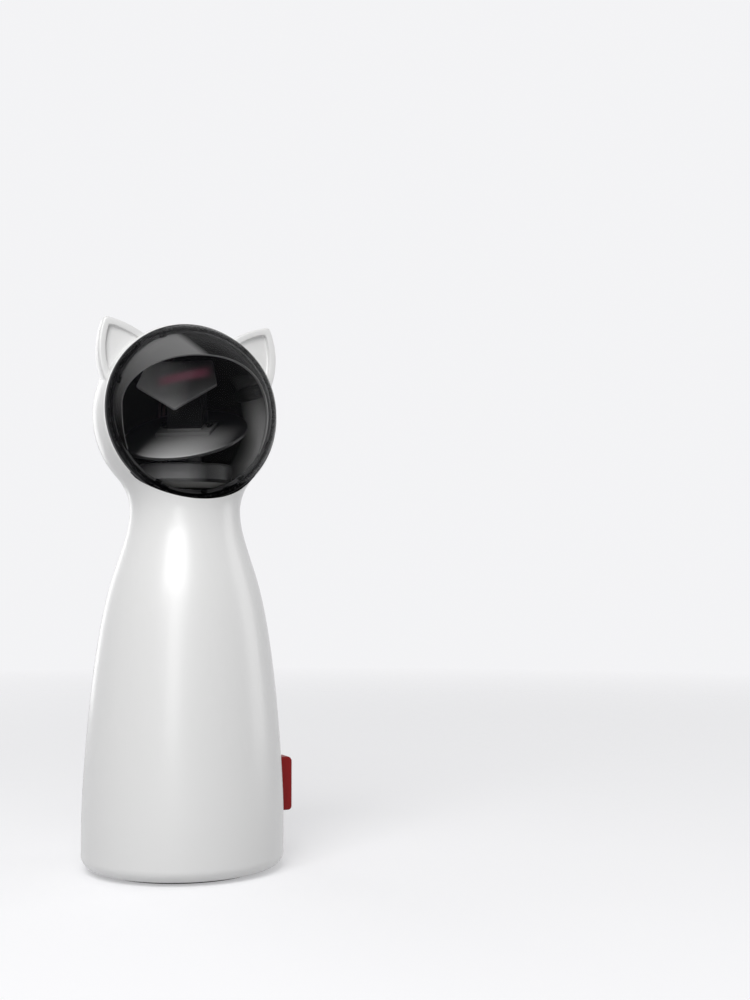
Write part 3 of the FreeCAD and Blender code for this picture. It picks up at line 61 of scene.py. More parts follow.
FACE_TILT = 4.9
RIM_FORWARD = 8.5
RIM_R = math.sqrt(HEAD_R**2 - RIM_FORWARD**2)
RIM_STEP = 0.33
CUT_R = RIM_R + 0.1
SEAT_W = 1.7
SEAT_T = 2.0
CRADLE_T = 1.95
CRADLE_BACK = 4.0
CRADLE_END = 45.0
RING_W = 3.95
RING_T = 0.8
RING_OUT_R = RIM_R - RIM_STEP
RING_IN_R = RING_OUT_R - RING_W
DOME_R = 35.7
DOME_IN_R = 34.1
DOME_BACK = RIM_FORWARD + RING_T
COLLAR_T = 0.6
COLLAR_H = 1.0
COLLAR_GAP = 0.15
COLLAR_TOP = DOME_BACK + COLLAR_H
COLLAR_OUT_R = math.sqrt(DOME_IN_R**2 - COLLAR_TOP**2) - COLLAR_GAP
CLIP_COUNT = 8
CLIP_W = 2.6
CLIP_H = 2.1
CLIP_LEAN = 0.35
BROW_R = 32.6
BROW_IN_R = 31.4
BROW_RIM_R = math.sqrt(BROW_R**2 - DOME_BACK**2)
BROW_IN_RIM_R = math.sqrt(BROW_IN_R**2 - DOME_BACK**2)
BROW_HALF_W = 29.6
BROW_UP = 19.1
BROW_DOWN = 32.0
BROW_FULLNESS = 2.2

SCREW_L = 15.4
SCREW_R = 1.0
SCREW_HEAD_R = 2.0
SCREW_HEAD_T = 1.5
RECESS_W = 0.54
RECESS_DEPTH = 0.7
PILOT_R = 1.05
PILOT_L = 11.5
BORE_R = 1.15
WELL_R = 2.25
BOSS_R = 3.0
BOSS_BITE = 0.8
BOSS_L = 12.0
BODY_SCREW_ZS = (52.0, 104.0)
HEAD_SCREW_UP = 11.2
SCREW_SEAT = 4.5
SEAT_Y = SPLIT_Y + SCREW_SEAT

SWITCH_Z = 30.2
SWITCH_TRAVEL = 2.5
CAP_H = 21.2
CAP_W = 8.0
CAP_PROUD = 6.29
CAP_GAP = 0.3
POCKET_MARGIN = 0.6
POCKET_DEPTH = 0.4
PAD_T = 2.4
PAD_MARGIN = 2.5
STEM_W = 4.4
STEM_H = 7.2
STEM_TIP_X = 29.72
SLOT_GAP = 0.3
POCKET_HALF_W = CAP_W / 2 + POCKET_MARGIN
POCKET_HALF_H = CAP_H / 2 + SWITCH_TRAVEL + POCKET_MARGIN

PORT_W = 12.0
PORT_H = 6.8
PORT_ROUND = 2.0
PORT_MIDDLE_Z = 12.45
PORT_START_Y = 30.0

TABLE_R = 24.4
TABLE_T = 1.6
TABLE_SLANT = math.tan(math.radians(25.0))
TABLE_Z = 169.2
HUB_R = 6.5
HUB_BORE_R = 4.05
HUB_LOW_Z = 157.2
HUB_HIGH_Z = 176.0
HUB_BITE = 0.8
MIRROR_AZIMUTH = -36.0
MIRROR_SLOPE = 50.0
MIRROR_Z = 193.0
PLATE_T = 1.2
PLATE_CORNERS = [(-17.5, 6.9), (-19.0, -7.0), (-0.5, -20.4), (14.0, -7.0), (9.4, 6.9)]
PLATE_ROUNDS = [0.6, 0.9, 1.0, 0.9, 0.6]

DRUM_R = 18.2
DRUM_IN_R = 17.3
DRUM_BORE_R = 4.8
DRUM_ROUND = 1.2
DRUM_LOW_Z = 149.0
DRUM_HIGH_Z = 156.4
DRUM_CEILING_Z = 155.5

TREAD_IN_R = 27.0
TREAD_OUT_R = 31.0
TREAD_TOP_Z = 1.8
TREAD_ROUND = 0.5

# -------- fine work on the surfaces
FAR = 80.0
ALL_X = (-FAR, FAR)
ALL_Z = (-5, HEAD_Z + FAR)
HALF_GAP = 0.03
GROOVE_W = 0.16
GROOVE_DEPTH = 0.35
LIP_ROUND = 0.45
NECK_SPAN = 46
SCOOP_ROUND = 0.35
SKIN = 0.6
HEAD_FLOOR_Z = 151.5
SNAP_ANGLES = (160, 112, -54, -84, -118)
LATHE_STEPS = 160
FACE_STEPS = 192


# ======== placements
def turn(angle, axis="Z"):
    """Turn by an angle in degrees about an axis."""
    return Matrix.Rotation(math.radians(angle), 4, axis)


def lift(z):
    """Shift along Z."""
    return Matrix.Translation((0, 0, z))


def scaled(matrix):
    """A placement in millimetres, for a mesh in metres."""
    out = matrix.copy()
    out.translation = out.translation * MM
    return out


FACE = lift(HEAD_Z) @ turn(90 - FACE_TILT, "X")
TO_FACE = FACE.inverted()
ROTOR = turn(MIRROR_AZIMUTH)
PLATE = ROTOR @ lift(MIRROR_Z) @ turn(MIRROR_SLOPE, "X")
# Stands an outline in x and y up into x and z.
UPRIGHT = Matrix(((1, 0, 0, 0), (0, 0, 1, 0), (0, 1, 0, 0), (0, 0, 0, 1)))


# ======== mesh tools
def add_object(name, data):
    """Object in the scene that holds the data."""
    obj = bpy.data.objects.new(name, data)
    SCENE.collection.objects.link(obj)
    return obj


def solid(name, verts, faces, place=Matrix()):
    """Object from points in millimetres, its doubled points closed and its faces turned outward."""
    mesh = bpy.data.meshes.new(name)
    mesh.from_pydata([(place @ Vector(v)) * MM for v in verts], [], faces)
    form = bmesh.new()
    form.from_mesh(mesh)
    bmesh.ops.remove_doubles(form, verts=form.verts, dist=1e-7)
    bmesh.ops.recalc_face_normals(form, faces=form.faces)
    form.to_mesh(mesh)
    form.free()
    return add_object(name, mesh)


def settle(obj):
    """Turns an object's modifiers into plain mesh."""
    bpy.context.view_layer.update()
    graph = bpy.context.evaluated_depsgraph_get()
    mesh = bpy.data.meshes.new_from_object(obj.evaluated_get(graph))
    obj.modifiers.clear()
    obj.data = mesh
    return obj


def merge(obj, other, how):
    """Merges obj with another solid, which is used up."""
    step = obj.modifiers.new("merge", "BOOLEAN")
    step.operation = how
    step.object = other
    step.solver = "EXACT"
    settle(obj)
    bpy.data.objects.remove(other)
    return obj


def cut(obj, other):
    """Takes another solid out of obj."""
    return merge(obj, other, "DIFFERENCE")


def join(obj, other):
    """Adds another solid to obj."""
    return merge(obj, other, "UNION")


def together(name, objects):
    """One object that holds the meshes of several."""
    form = bmesh.new()
    for obj in objects:
        form.from_mesh(obj.data)
        bpy.data.objects.remove(obj)
    mesh = bpy.data.meshes.new(name)
    form.to_mesh(mesh)
    form.free()
    return add_object(name, mesh)


def soften(obj, width, steps=3, angle=32.0):
    """Rounds the edges that are sharper than an angle."""
    edge = obj.modifiers.new("edge", "BEVEL")
    edge.width = width * MM
    edge.segments = steps
    edge.limit_method = "ANGLE"
    edge.angle_limit = math.radians(angle)
    edge.use_clamp_overlap = True
    edge.harden_normals = False
    return settle(obj)


def strips(n, rows, closed=False):
    """Faces between neighbouring loops of n points each. Closed ones also join the last loop to the first."""
    faces = []
    for k in range(rows if closed else rows - 1):
        low, high = k * n, (k + 1) % rows * n
        faces += [(low + i, low + (i + 1) % n, high + (i + 1) % n, high + i) for i in range(n)]
    return faces


def skin(name, loops, place=Matrix()):
    """Form over a row of loops that have like numbers of points, with both ends filled."""
    n, rows = len(loops[0]), len(loops)
    verts = [p for loop in loops for p in loop]
    caps = [tuple(range(n)), tuple(range(rows * n - 1, (rows - 1) * n - 1, -1))]
    return solid(name, verts, caps + strips(n, rows), place)


def lathe(name, line, steps=LATHE_STEPS, place=Matrix()):
    """Turned form. A line that ends on the axis gets poles, any other is a closed loop."""
    poles = line[0][0] < 1e-6 and line[-1][0] < 1e-6
    body = line[1:-1] if poles else line
    verts = []
    for r, z in body:
        for k in range(steps):
            a = 2 * math.pi * k / steps
            verts.append((r * math.cos(a), r * math.sin(a), z))
    rows = len(body)
    faces = strips(steps, rows, closed=not poles)
    if poles:
        for tip_z, row in ((line[0][1], 0), (line[-1][1], rows - 1)):
            verts.append((0, 0, tip_z))
            tip = len(verts) - 1
            faces += [(row * steps + k, row * steps + (k + 1) % steps, tip) for k in range(steps)]
    return solid(name, verts, faces, place)


def prism(name, outline, near, far, place=Matrix()):
    """Form between two levels over an outline in x and y. A level is a height, or gives one from x and y."""
    loops = [[(x, y, z(x, y) if callable(z) else z) for x, y in outline] for z in (near, far)]
    return skin(name, loops, place)


def about(middle, half_width):
    """Limits on both sides of a middle."""
    return middle - half_width, middle + half_width


def box_outline(x, y):
    """Corners of a rectangle between pairs of limits."""
    return [(x[0], y[0]), (x[1], y[0]), (x[1], y[1]), (x[0], y[1])]


def block(name, x, y, z, place=Matrix()):
    """Box between pairs of limits."""
    return prism(name, box_outline(x, y), *z, place)


def rod(name, radius, start, end, steps=40):
    """Cylinder between two points."""
    start, end = Vector(start), Vector(end)
    aim = (end - start).to_track_quat("Z", "Y").to_matrix().to_4x4()
    length = (end - start).length
    line = [(0, 0), (radius, 0), (radius, length), (0, length)]
    return lathe(name, line, steps, Matrix.Translation(start) @ aim)


def arc(x, z, radius, start, end, steps):
    """Points of an arc, its angles in degrees."""
    points = []
    for k in range(steps + 1):
        a = math.radians(start + (end - start) * k / steps)
        points.append((x + radius * math.cos(a), z + radius * math.sin(a)))
    return points


def rounded(corners, rounds, steps=5):
    """Closed outline with each corner rounded by its own radius."""
    points = []
    n = len(corners)
    for k in range(n):
        here = Vector(corners[k])
        back = (Vector(corners[k - 1]) - here).normalized()
        ahead = (Vector(corners[(k + 1) % n]) - here).normalized()
        radius = rounds[k]
        if radius <= 0:
            points.append(tuple(here))
            continue
        half_angle = math.acos(max(-1.0, min(1.0, back.dot(ahead)))) / 2
        reach = radius / math.tan(half_angle)
        middle = here + (back + ahead).normalized() * (radius / math.sin(half_angle))
        start, end = here + back * reach - middle, here + ahead * reach - middle
        sweep = start.angle_signed(end)
        for i in range(steps + 1):
            spoke = start.copy()
            spoke.rotate(Matrix.Rotation(-sweep * i / steps, 2))
            points.append(tuple(middle + spoke))
    return points


# ======== body form
def clamped_spline(points):
    """Radius at a height along a smooth line through points, upright at both ends."""
    n = len(points)
    z = [p[1] for p in points]
    r = [p[0] for p in points]
    h = [z[k + 1] - z[k] for k in range(n - 1)]
    low, mid, up, right = [0.0] * n, [0.0] * n, [0.0] * n, [0.0] * n
    mid[0], up[0], right[0] = 2 * h[0], h[0], 6 * (r[1] - r[0]) / h[0]
    for k in range(1, n - 1):
        low[k], mid[k], up[k] = h[k - 1], 2 * (h[k - 1] + h[k]), h[k]
        right[k] = 6 * ((r[k + 1] - r[k]) / h[k] - (r[k] - r[k - 1]) / h[k - 1])
    low[-1], mid[-1], right[-1] = h[-1], 2 * h[-1], -6 * (r[-1] - r[-2]) / h[-1]
    for k in range(1, n):
        share = low[k] / mid[k - 1]
        mid[k] -= share * up[k - 1]
        right[k] -= share * right[k - 1]
    bend = [0.0] * n
    bend[-1] = right[-1] / mid[-1]
    for k in range(n - 2, -1, -1):
        bend[k] = (right[k] - up[k] * bend[k + 1]) / mid[k]

    def radius(at):
        k = 0
        while k < n - 2 and at > z[k + 1]:
            k += 1
        a, b = z[k + 1] - at, at - z[k]
        flat = (r[k] / h[k] - bend[k] * h[k] / 6) * a + (r[k + 1] / h[k] - bend[k + 1] * h[k] / 6) * b
        return flat + (bend[k] * a**3 + bend[k + 1] * b**3) / (6 * h[k])

    return radius


torso_radius = clamped_spline(TORSO + [(NECK_R, NECK_Z)])
JOIN_ANGLE = math.degrees(math.atan2(NECK_Z - HEAD_Z, NECK_ARC_X))


def body_line(inset, rows=1.0):
    """Half section from the foot up to the crown, moved in by inset."""
    corner = FOOT_ROUND - inset
    points = arc(BODY_R - FOOT_ROUND, SHELL_BOTTOM_Z + FOOT_ROUND, corner, -90, 0, int(10 * rows))
    torso_rows = int(64 * rows)
    for k in range(torso_rows):
        z = BODY_WIDEST_Z + (NECK_Z - BODY_WIDEST_Z) * k / torso_rows
        points.append((torso_radius(z) - inset, z))
    points += arc(NECK_ARC_X, NECK_Z, NECK_ROUND + inset, 180, 180 + JOIN_ANGLE, int(16 * rows))
    points += arc(0, HEAD_Z, HEAD_R - inset, JOIN_ANGLE, 90, int(80 * rows))[1:]
    points[-1] = (0.0, points[-1][1])
    return points


def body_core(name, inset):
    """Solid inside the body's outer form, moved in by inset."""
    line = body_line(inset, 0.8)
    return lathe(name, [(0.0, line[0][1])] + line)


# ======== ears
def ear_point(rise, angle):
    """Point over the head at a rise and an angle above level."""
    a = math.radians(angle)
    return (HEAD_R + rise) * math.cos(a), HEAD_Z + (HEAD_R + rise) * math.sin(a)


def circle_through(p, q, s):
    """Centre and radius of the circle through three points."""
    (ax, ay), (bx, by), (cx, cy) = p, q, s
    a, b, c = (x**2 + y**2 for x, y in (p, q, s))
    d = 2 * (ax * (by - cy) + bx * (cy - ay) + cx * (ay - by))
    ux = (a * (by - cy) + b * (cy - ay) + c * (ay - by)) / d
    uy = (a * (cx - bx) + b * (ax - cx) + c * (bx - ax)) / d
    return Vector((ux, uy)), math.hypot(ax - ux, ay - uy)


EAR_FOOT = ear_point(-1.56, 17.18)
EAR_SIDE = ear_point(7.53, 33.69)
EAR_TIP = ear_point(13.95, 47.67)
EAR_CROWN = ear_point(7.30, 53.53)
EAR_INNER = ear_point(-3.80, 62.32)
EAR_ROOT = ear_point(-12.69, 19.98)
EAR_MIDDLE_Y = -2.1
EAR_T_FOOT = 8.2
EAR_T_TIP = 3.6
EAR_TIP_ROUND = 1.5
EAR_EDGE = 1.0
# Steps from the sunk panel up to the border, as (inset, depth).
EAR_PANEL = [(3.7, 1.1), (3.25, 1.02), (2.95, 0.75), (2.8, 0.4), (2.6, 0.12), (2.25, 0.0)]
# The first steps lean back by this much per millimetre beyond a distance from the toy's middle.
EAR_LEAN = 0.09
EAR_LEAN_X = 22.0
EAR_LEAN_STEPS = 3


def ear_outline(inset):
    """Closed outline of an ear in x and z, moved in by inset, with its tip rounded."""
    side, side_r = circle_through(EAR_FOOT, EAR_SIDE, EAR_TIP)
    crown, crown_r = circle_through(EAR_TIP, EAR_CROWN, EAR_INNER)
    side_r, crown_r = side_r - inset, crown_r - inset
    gap = crown - side
    span = gap.length
    along = (span**2 + side_r**2 - crown_r**2) / (2 * span)
    rise = math.sqrt(side_r**2 - along**2)
    across = Vector((-gap.y, gap.x)) / span
    meets = [side + gap / span * along + across * rise * way for way in (1, -1)]
    point = min(meets, key=lambda p: (p - Vector(EAR_TIP)).length)

    def bearing(centre, at):
        return math.degrees(math.atan2(at[1] - centre.y, at[0] - centre.x))

    side_end = bearing(side, point) - math.degrees(EAR_TIP_ROUND / side_r)
    crown_start = bearing(crown, point) + math.degrees(EAR_TIP_ROUND / crown_r)
    first = arc(side.x, side.y, side_r, bearing(side, EAR_FOOT), side_end, 26)
    last = arc(crown.x, crown.y, crown_r, crown_start, bearing(crown, EAR_INNER), 26)
    start, end = Vector(first[-1]), Vector(last[0])
    curve = []
    for k in range(1, 8):
        t = k / 8
        curve.append(tuple(start * (1 - t) ** 2 + point * 2 * t * (1 - t) + end * t**2))
    inward = (Vector(EAR_SIDE) - Vector(EAR_ROOT)).normalized() * inset * 0.3
    return first + curve + last + [(EAR_ROOT[0] + inward.x, EAR_ROOT[1] + inward.y)]


def ear_front(z):
    """Place of an ear's front face at a height."""
    share = (z - EAR_ROOT[1]) / (EAR_TIP[1] - EAR_ROOT[1])
    return EAR_MIDDLE_Y - (EAR_T_FOOT + (EAR_T_TIP - EAR_T_FOOT) * share) / 2


def ear(way):
    """Ear with rounded edges and a sunk front panel, on the side given by 1 or -1."""
    turns = [math.pi / 12 * k for k in range(7)]
    edge = [(EAR_EDGE * (1 - math.sin(a)), EAR_EDGE * (1 - math.cos(a))) for a in turns]
    loops = []
    for step, (inset, depth) in enumerate(EAR_PANEL + edge):
        lean = EAR_LEAN if step < EAR_LEAN_STEPS else 0.0
        row = ear_outline(inset)
        loops.append([(x * way, ear_front(z) + depth + lean * max(0.0, x - EAR_LEAN_X), z) for x, z in row])
    for inset, depth in reversed(edge):
        loops.append([(x * way, 2 * EAR_MIDDLE_Y - ear_front(z) - depth, z) for x, z in ear_outline(inset)])
    return skin("ear", loops)


# ======== shells
def screw_places():
    """Places of the rear screws in x and z, close to the wall on both sides."""
    places = []
    for z in (*BODY_SCREW_ZS, HEAD_Z + HEAD_SCREW_UP):
        in_head = z > NECK_Z
        inside_r = math.sqrt((HEAD_R - WALL) ** 2 - (z - HEAD_Z) ** 2) if in_head else torso_radius(z) - WALL
        x = math.sqrt(inside_r**2 - SPLIT_Y**2) - BOSS_R + BOSS_BITE
        places += [(x, z), (-x, z)]
    return places


SCREW_PLACES = screw_places()
FLAT_X = torso_radius(SWITCH_Z + POCKET_HALF_H) - POCKET_DEPTH
CAP_IN_X = FLAT_X + CAP_GAP
CAP_OUT_X = CAP_IN_X + CAP_PROUD
PAD_IN_X = FLAT_X - PAD_T


def screw_rods(name, radius, start, end, steps=40):
    """A rod along Y at each rear screw's place."""
    return [rod(name, radius, (x, start, z), (x, end, z), steps) for x, z in SCREW_PLACES]


def rim_block():
    """Ring that the seat and the cradle of the dome are cut from, along the face's axis."""
    inner, outer, middle = CUT_R - SEAT_W, CUT_R + CRADLE_T, CUT_R - 0.02
    seat, cradle = RIM_FORWARD - SEAT_T, RIM_FORWARD - CRADLE_BACK
    line = [(inner, seat), (middle, seat), (middle, cradle), (outer, cradle)]
    line += [(outer, CRADLE_END), (inner, CRADLE_END)]
    return lathe("rim", line, FACE_STEPS, FACE)


def whole_shell():
    """Hollow body and head in one piece, with its ears, screw posts and the switch pad."""
    shell = lathe("shell", [(0.0, SHELL_BOTTOM_Z)] + body_line(0.0), 224)
    join(shell, ear(1))
    join(shell, ear(-1))
    hollow = body_core("hollow", WALL)
    posts = screw_rods("post", BOSS_R, SPLIT_Y - BOSS_L, FAR)
    pad_y = (-POCKET_HALF_W - PAD_MARGIN, SPLIT_Y - 0.2)
    pad = block("pad", (PAD_IN_X, FAR), pad_y, about(SWITCH_Z, POCKET_HALF_H + PAD_MARGIN))
    for form in posts + [pad, rim_block()]:
        cut(hollow, form)
    join(hollow, rod("mouth", OPENING_R, (0, 0, -1), (0, 0, 5), LATHE_STEPS))
    return cut(shell, hollow)


def seam_cutter(near, far):
    """Shallow groove along one side of the parting plane."""
    return cut(block("slab", ALL_X, (near, far), ALL_Z), body_core("core", GROOVE_DEPTH))


def lip_cutter():
    """Rounds the white lip round the dome, as a partial ring that leaves the neck alone."""
    tilt = math.degrees(math.asin((RIM_FORWARD - LIP_ROUND) / (HEAD_R - LIP_ROUND)))
    centre_r = (HEAD_R - LIP_ROUND) * math.cos(math.radians(tilt))
    line = [(centre_r, RIM_FORWARD + 2)] + arc(centre_r, RIM_FORWARD - LIP_ROUND, LIP_ROUND, 90, tilt, 6)
    line += [(centre_r + 6, line[-1][1] + 1.0), (centre_r + 6, RIM_FORWARD + 2)]
    start, end, steps = NECK_SPAN - 90, 270 - NECK_SPAN, 180
    loops = []
    for k in range(steps + 1):
        a = math.radians(start + (end - start) * k / steps)
        loops.append([(r * math.cos(a), r * math.sin(a), z) for r, z in line])
    return skin("lip", loops, FACE)


def ease_rim(obj, width):
    """Rounds the edge where the dome's scoop runs out through the neck."""
    form = bmesh.new()
    form.from_mesh(obj.data)
    bmesh.ops.remove_doubles(form, verts=form.verts, dist=1e-6)
    edges = []
    for edge in form.edges:
        if len(edge.link_faces) != 2 or edge.calc_face_angle(0.0) < math.radians(25):
            continue
        ends = [TO_FACE @ (v.co / MM) for v in edge.verts]
        if all(abs(math.hypot(p.x, p.y) - CUT_R) < 0.03 and p.z > RIM_FORWARD + 0.3 for p in ends):
            edges.append(edge)
    rounding = {"offset": width * MM, "segments": 3, "profile": 0.5, "clamp_overlap": False}
    bmesh.ops.bevel(form, geom=edges, affect="EDGES", **rounding)
    form.to_mesh(obj.data)
    form.free()


def half(whole, y):
    """Copy of the whole shell between two limits in y."""
    shell = add_object("half", whole.data.copy())
    return merge(shell, block("half", ALL_X, y, ALL_Z), "INTERSECT")


def front_half(whole):
    """Front of the body and head, with the opening for the face and the switch's pocket."""
    shell = half(whole, (-FAR, SPLIT_Y - HALF_GAP))
    scoop = [(0, RIM_FORWARD), (CUT_R, RIM_FORWARD), (CUT_R, FAR), (0, FAR)]
    cut(shell, lathe("scoop", scoop, FACE_STEPS, FACE))
    cut(shell, lip_cutter())
    ease_rim(shell, SCOOP_ROUND)
    window = block("window", (FLAT_X, FAR), about(0, POCKET_HALF_W), about(SWITCH_Z, POCKET_HALF_H))
    soften(window, 0.9, 4, 40)
    slot_z = about(SWITCH_Z, STEM_H / 2 + SWITCH_TRAVEL + SLOT_GAP)
    slot = block("slot", (PAD_IN_X - 1, FLAT_X + 1), about(0, STEM_W / 2 + SLOT_GAP), slot_z)
    join(window, slot)
    cut(shell, window)
    pilots = screw_rods("pilot", PILOT_R, SPLIT_Y - PILOT_L, SPLIT_Y + 1, 20)
    cut(shell, together("pilots", pilots))
    return cut(shell, seam_cutter(SPLIT_Y - GROOVE_W, SPLIT_Y + 1.0))


def rear_half(whole):
    """Rear cover with its screw wells and the charging port's opening."""
    shell = half(whole, (SPLIT_Y + HALF_GAP, FAR))
    cut(shell, together("wells", screw_rods("well", WELL_R, SEAT_Y, FAR)))
    bores = screw_rods("bore", BORE_R, SPLIT_Y - 1, SEAT_Y + 1, 20)
    cut(shell, together("bores", bores))
    port = rounded(box_outline(about(0, PORT_W / 2), about(0, PORT_H / 2)), [PORT_ROUND] * 4, 8)
    cut(shell, prism("port", port, PORT_START_Y, FAR, lift(PORT_MIDDLE_Z) @ UPRIGHT))
    return cut(shell, seam_cutter(SPLIT_Y - 1.0, SPLIT_Y + GROOVE_W))


# ======== node tools
EYE_RAYS = ("Is Camera Ray", "Is Glossy Ray", "Is Transmission Ray")


class Socket:
    """A node's output, which takes part in sums."""

    def __init__(self, tree, plug):
        self.tree = tree
        self.plug = plug

    def sum(self, operation, a, b):
        return self.tree.node("ShaderNodeMath", {"operation": operation}, {0: a, 1: b})

    def __add__(self, other):
        return self.sum("ADD", self, other)

    __radd__ = __add__

    def __sub__(self, other):
        return self.sum("SUBTRACT", self, other)

    def __rsub__(self, other):
        return self.sum("SUBTRACT", other, self)

    def __mul__(self, other):
        return self.sum("MULTIPLY", self, other)

    __rmul__ = __mul__

    def __truediv__(self, other):
        return self.sum("DIVIDE", self, other)

    def __rtruediv__(self, other):
        return self.sum("DIVIDE", other, self)

    def __pow__(self, other):
        return self.sum("POWER", self, other)

    def __abs__(self):
        return self.sum("ABSOLUTE", self, 0.0)

    def least(self, other):
        return self.sum("MINIMUM", self, other)

    def most(self, other):
        return self.sum("MAXIMUM", self, other)

    def clamp(self):
        return self.most(0.0).least(1.0)

    def rise(self, start, width):
        """From 0 at start up to 1 after a width, both in millimetres."""
        return ((self - start * MM) / (width * MM)).clamp()

    def fall(self, end, width):
        """From 1 before a width down to 0 at end, both in millimetres."""
        return ((end * MM - self) / (width * MM)).clamp()

    def hump(self, middle, reach, power=2.0):
        """1 at a middle and 0 from a reach on, both in millimetres. A higher power makes it blunter."""
        return (1 - abs((self - middle * MM) / (reach * MM)) ** power).clamp()


class Tree:
    """A node tree that nodes are added to."""

    def __init__(self, tree):
        self.nodes = tree.nodes
        self.links = tree.links

    def node(self, kind, settings, sockets, output=0):
        """Adds a node, sets it up, and gives one of its outputs."""
        made = self.nodes.new(kind)
        for key, value in settings.items():
            setattr(made, key, value)
        for key, value in sockets.items():
            if isinstance(value, Socket):
                self.links.new(value.plug, made.inputs[key])
            else:
                made.inputs[key].default_value = value
        return Socket(self, made.outputs[output]) if made.outputs else None

    def split(self, kind, names, sockets):
        """Adds a node and gives several of its outputs."""
        made = self.node(kind, {}, sockets).plug.node
        return [Socket(self, made.outputs[name]) for name in names]

    def seen(self):
        """1 for what the eye sees, straight, in gloss or through something clear."""
        eye, gloss, through = self.split("ShaderNodeLightPath", EYE_RAYS, {})
        return eye.most(gloss).most(through)


class Finish(Tree):
    """One material and the nodes in it."""

    def __init__(self, name):
        self.material = bpy.data.materials.new(name)
        self.material.use_nodes = True
        super().__init__(self.material.node_tree)
        self.nodes.clear()
        self.place = self.node("ShaderNodeTexCoord", {}, {}, "Object")

    def vector(self, operation, value):
        """Number from a vector sum of the place and a value."""
        return self.node("ShaderNodeVectorMath", {"operation": operation}, {0: self.place, 1: value}, "Value")

    def turned(self, centre, rotation):
        """x, y and z of the place, seen from a turned centre in millimetres."""
        local = self.node(
            "ShaderNodeMapping",
            {"vector_type": "TEXTURE"},
            {"Vector": self.place, "Location": tuple(Vector(centre) * MM), "Rotation": rotation},
        )
        return self.split("ShaderNodeSeparateXYZ", "XYZ", {0: local})

    def noise(self, scale, detail=2.0, roughness=0.5, at=None):
        sockets = {"Vector": at or self.place, "Scale": scale, "Detail": detail, "Roughness": roughness}
        return self.node("ShaderNodeTexNoise", {}, sockets)

    def mix(self, share, a, b):
        """Colour between a and b."""
        return self.node("ShaderNodeMix", {"data_type": "RGBA"}, {0: share, 6: a, 7: b}, 2)

    def bump(self, height, strength, distance):
        """Normal of a fine relief, its distance in millimetres."""
        sockets = {"Height": height, "Strength": strength, "Distance": distance * MM}
        return self.node("ShaderNodeBump", {}, sockets)

    def spread(self, value, low, high):
        """Value from 0 to 1 spread between two limits."""
        return value * (high - low) + low

    def surface(self, **sockets):
        """Principled surface. Names use _ for spaces."""
        named = {key.replace("_", " "): value for key, value in sockets.items()}
        return self.show(self.node("ShaderNodeBsdfPrincipled", {}, named))

    def show(self, shader):
        """Makes a shader the material's surface."""
        self.node("ShaderNodeOutputMaterial", {}, {"Surface": shader})
        return self.material


def rgb(red, green, blue, share=1.0):
    """Opaque colour, multiplied by a share."""
    return red * share, green * share, blue * share, 1.0


def grey(level):
    """Opaque grey."""
    return rgb(level, level, level)


# ======== finishes
SIGHT_X, SIGHT_Y = 0.4283, 0.9037
RIGHT_AHEAD = Vector((SIGHT_Y, -SIGHT_X, 0.0))
# Direction and reach of the painted highlight on the brow.
BROW_SWEEP = tuple(RIGHT_AHEAD + Vector((0, 0, 1.25)))
BROW_PAINTED_SHEEN_END = 38.9 + 1.25 * HEAD_Z
BROW_PAINTED_SHEEN_LENGTH = 69.444
FACE_AXIS = (FACE.to_3x3() @ Vector((0, 0, 1))).normalized()
DOME_BAND = (FACE @ Vector((0, 0, 11.3))).dot(FACE_AXIS)
# Place and turn of the painted laser streak on the mirror plate.
PAINTED_STREAK_CENTRE = PLATE @ Vector((-0.4, -2.0, 0.0))
PAINTED_STREAK_TURN = (PLATE @ turn(15.0)).to_euler()
ORIGIN = (0.0, 0.0, 0.0)


def moulded(name, colour, rough, grain=0.0, coat=0.0, peel=0.0, ior=1.5, drift=0.03):
    """Moulded plastic: slight drift of tone, a roughness that wanders, spark grain or a faint orange peel."""
    f = Finish(name)
    values = {
        "Base_Color": f.mix(f.noise(45.0, 3.0), rgb(*colour, share=1 - drift), rgb(*colour)),
        "Roughness": f.spread(f.noise(420.0, 4.0, 0.6), rough * 0.85, min(1.0, rough * 1.15)),
        "IOR": ior,
    }
    if coat:
        values["Coat_Weight"] = coat
        values["Coat_Roughness"] = 0.2
    if grain:
        values["Normal"] = f.bump(f.noise(5200.0, 3.0, 0.65), 0.35, grain)
    elif peel:
        values["Normal"] = f.bump(f.noise(260.0, 1.0), 0.25, peel)
    return f.surface(**values)


def turned_metal(name, colour, rough, lines=0.0):
    """Machined or plated metal, with fine lines round it."""
    f = Finish(name)
    stretch = (60.0, 60.0, 9000.0)
    drawn = f.node("ShaderNodeVectorMath", {"operation": "MULTIPLY"}, {0: f.place, 1: stretch})
    streak = f.noise(1.0, 2.0, 0.5, drawn)
    values = {
        "Base_Color": f.mix(f.noise(300.0, 3.0), rgb(*colour, share=0.82), rgb(*colour)),
        "Metallic": 1.0,
        "Roughness": f.spread(streak, rough * 0.7, min(1.0, rough * 1.4)),
    }
    if lines:
        values["Normal"] = f.bump(streak, 0.3, lines)
    return f.surface(**values)


def smoked_clear():
    """Smoked clear plastic, darker where it is seen edge on, with a black band round its foot."""
    f = Finish("smoked clear")
    edge = f.node("ShaderNodeLayerWeight", {}, {"Blend": 0.5}, "Facing")
    band = f.vector("DOT_PRODUCT", FACE_AXIS).fall(DOME_BAND, 0.5)
    return f.surface(
        Base_Color=rgb(0.004, 0.004, 0.005),
        Roughness=f.spread(f.noise(60.0, 3.0), 0.08, 0.12).most(band * 0.7),
        IOR=1.22,
        Alpha=f.spread(edge**9.0, 0.16, 0.95).most(band * 0.96),
    )


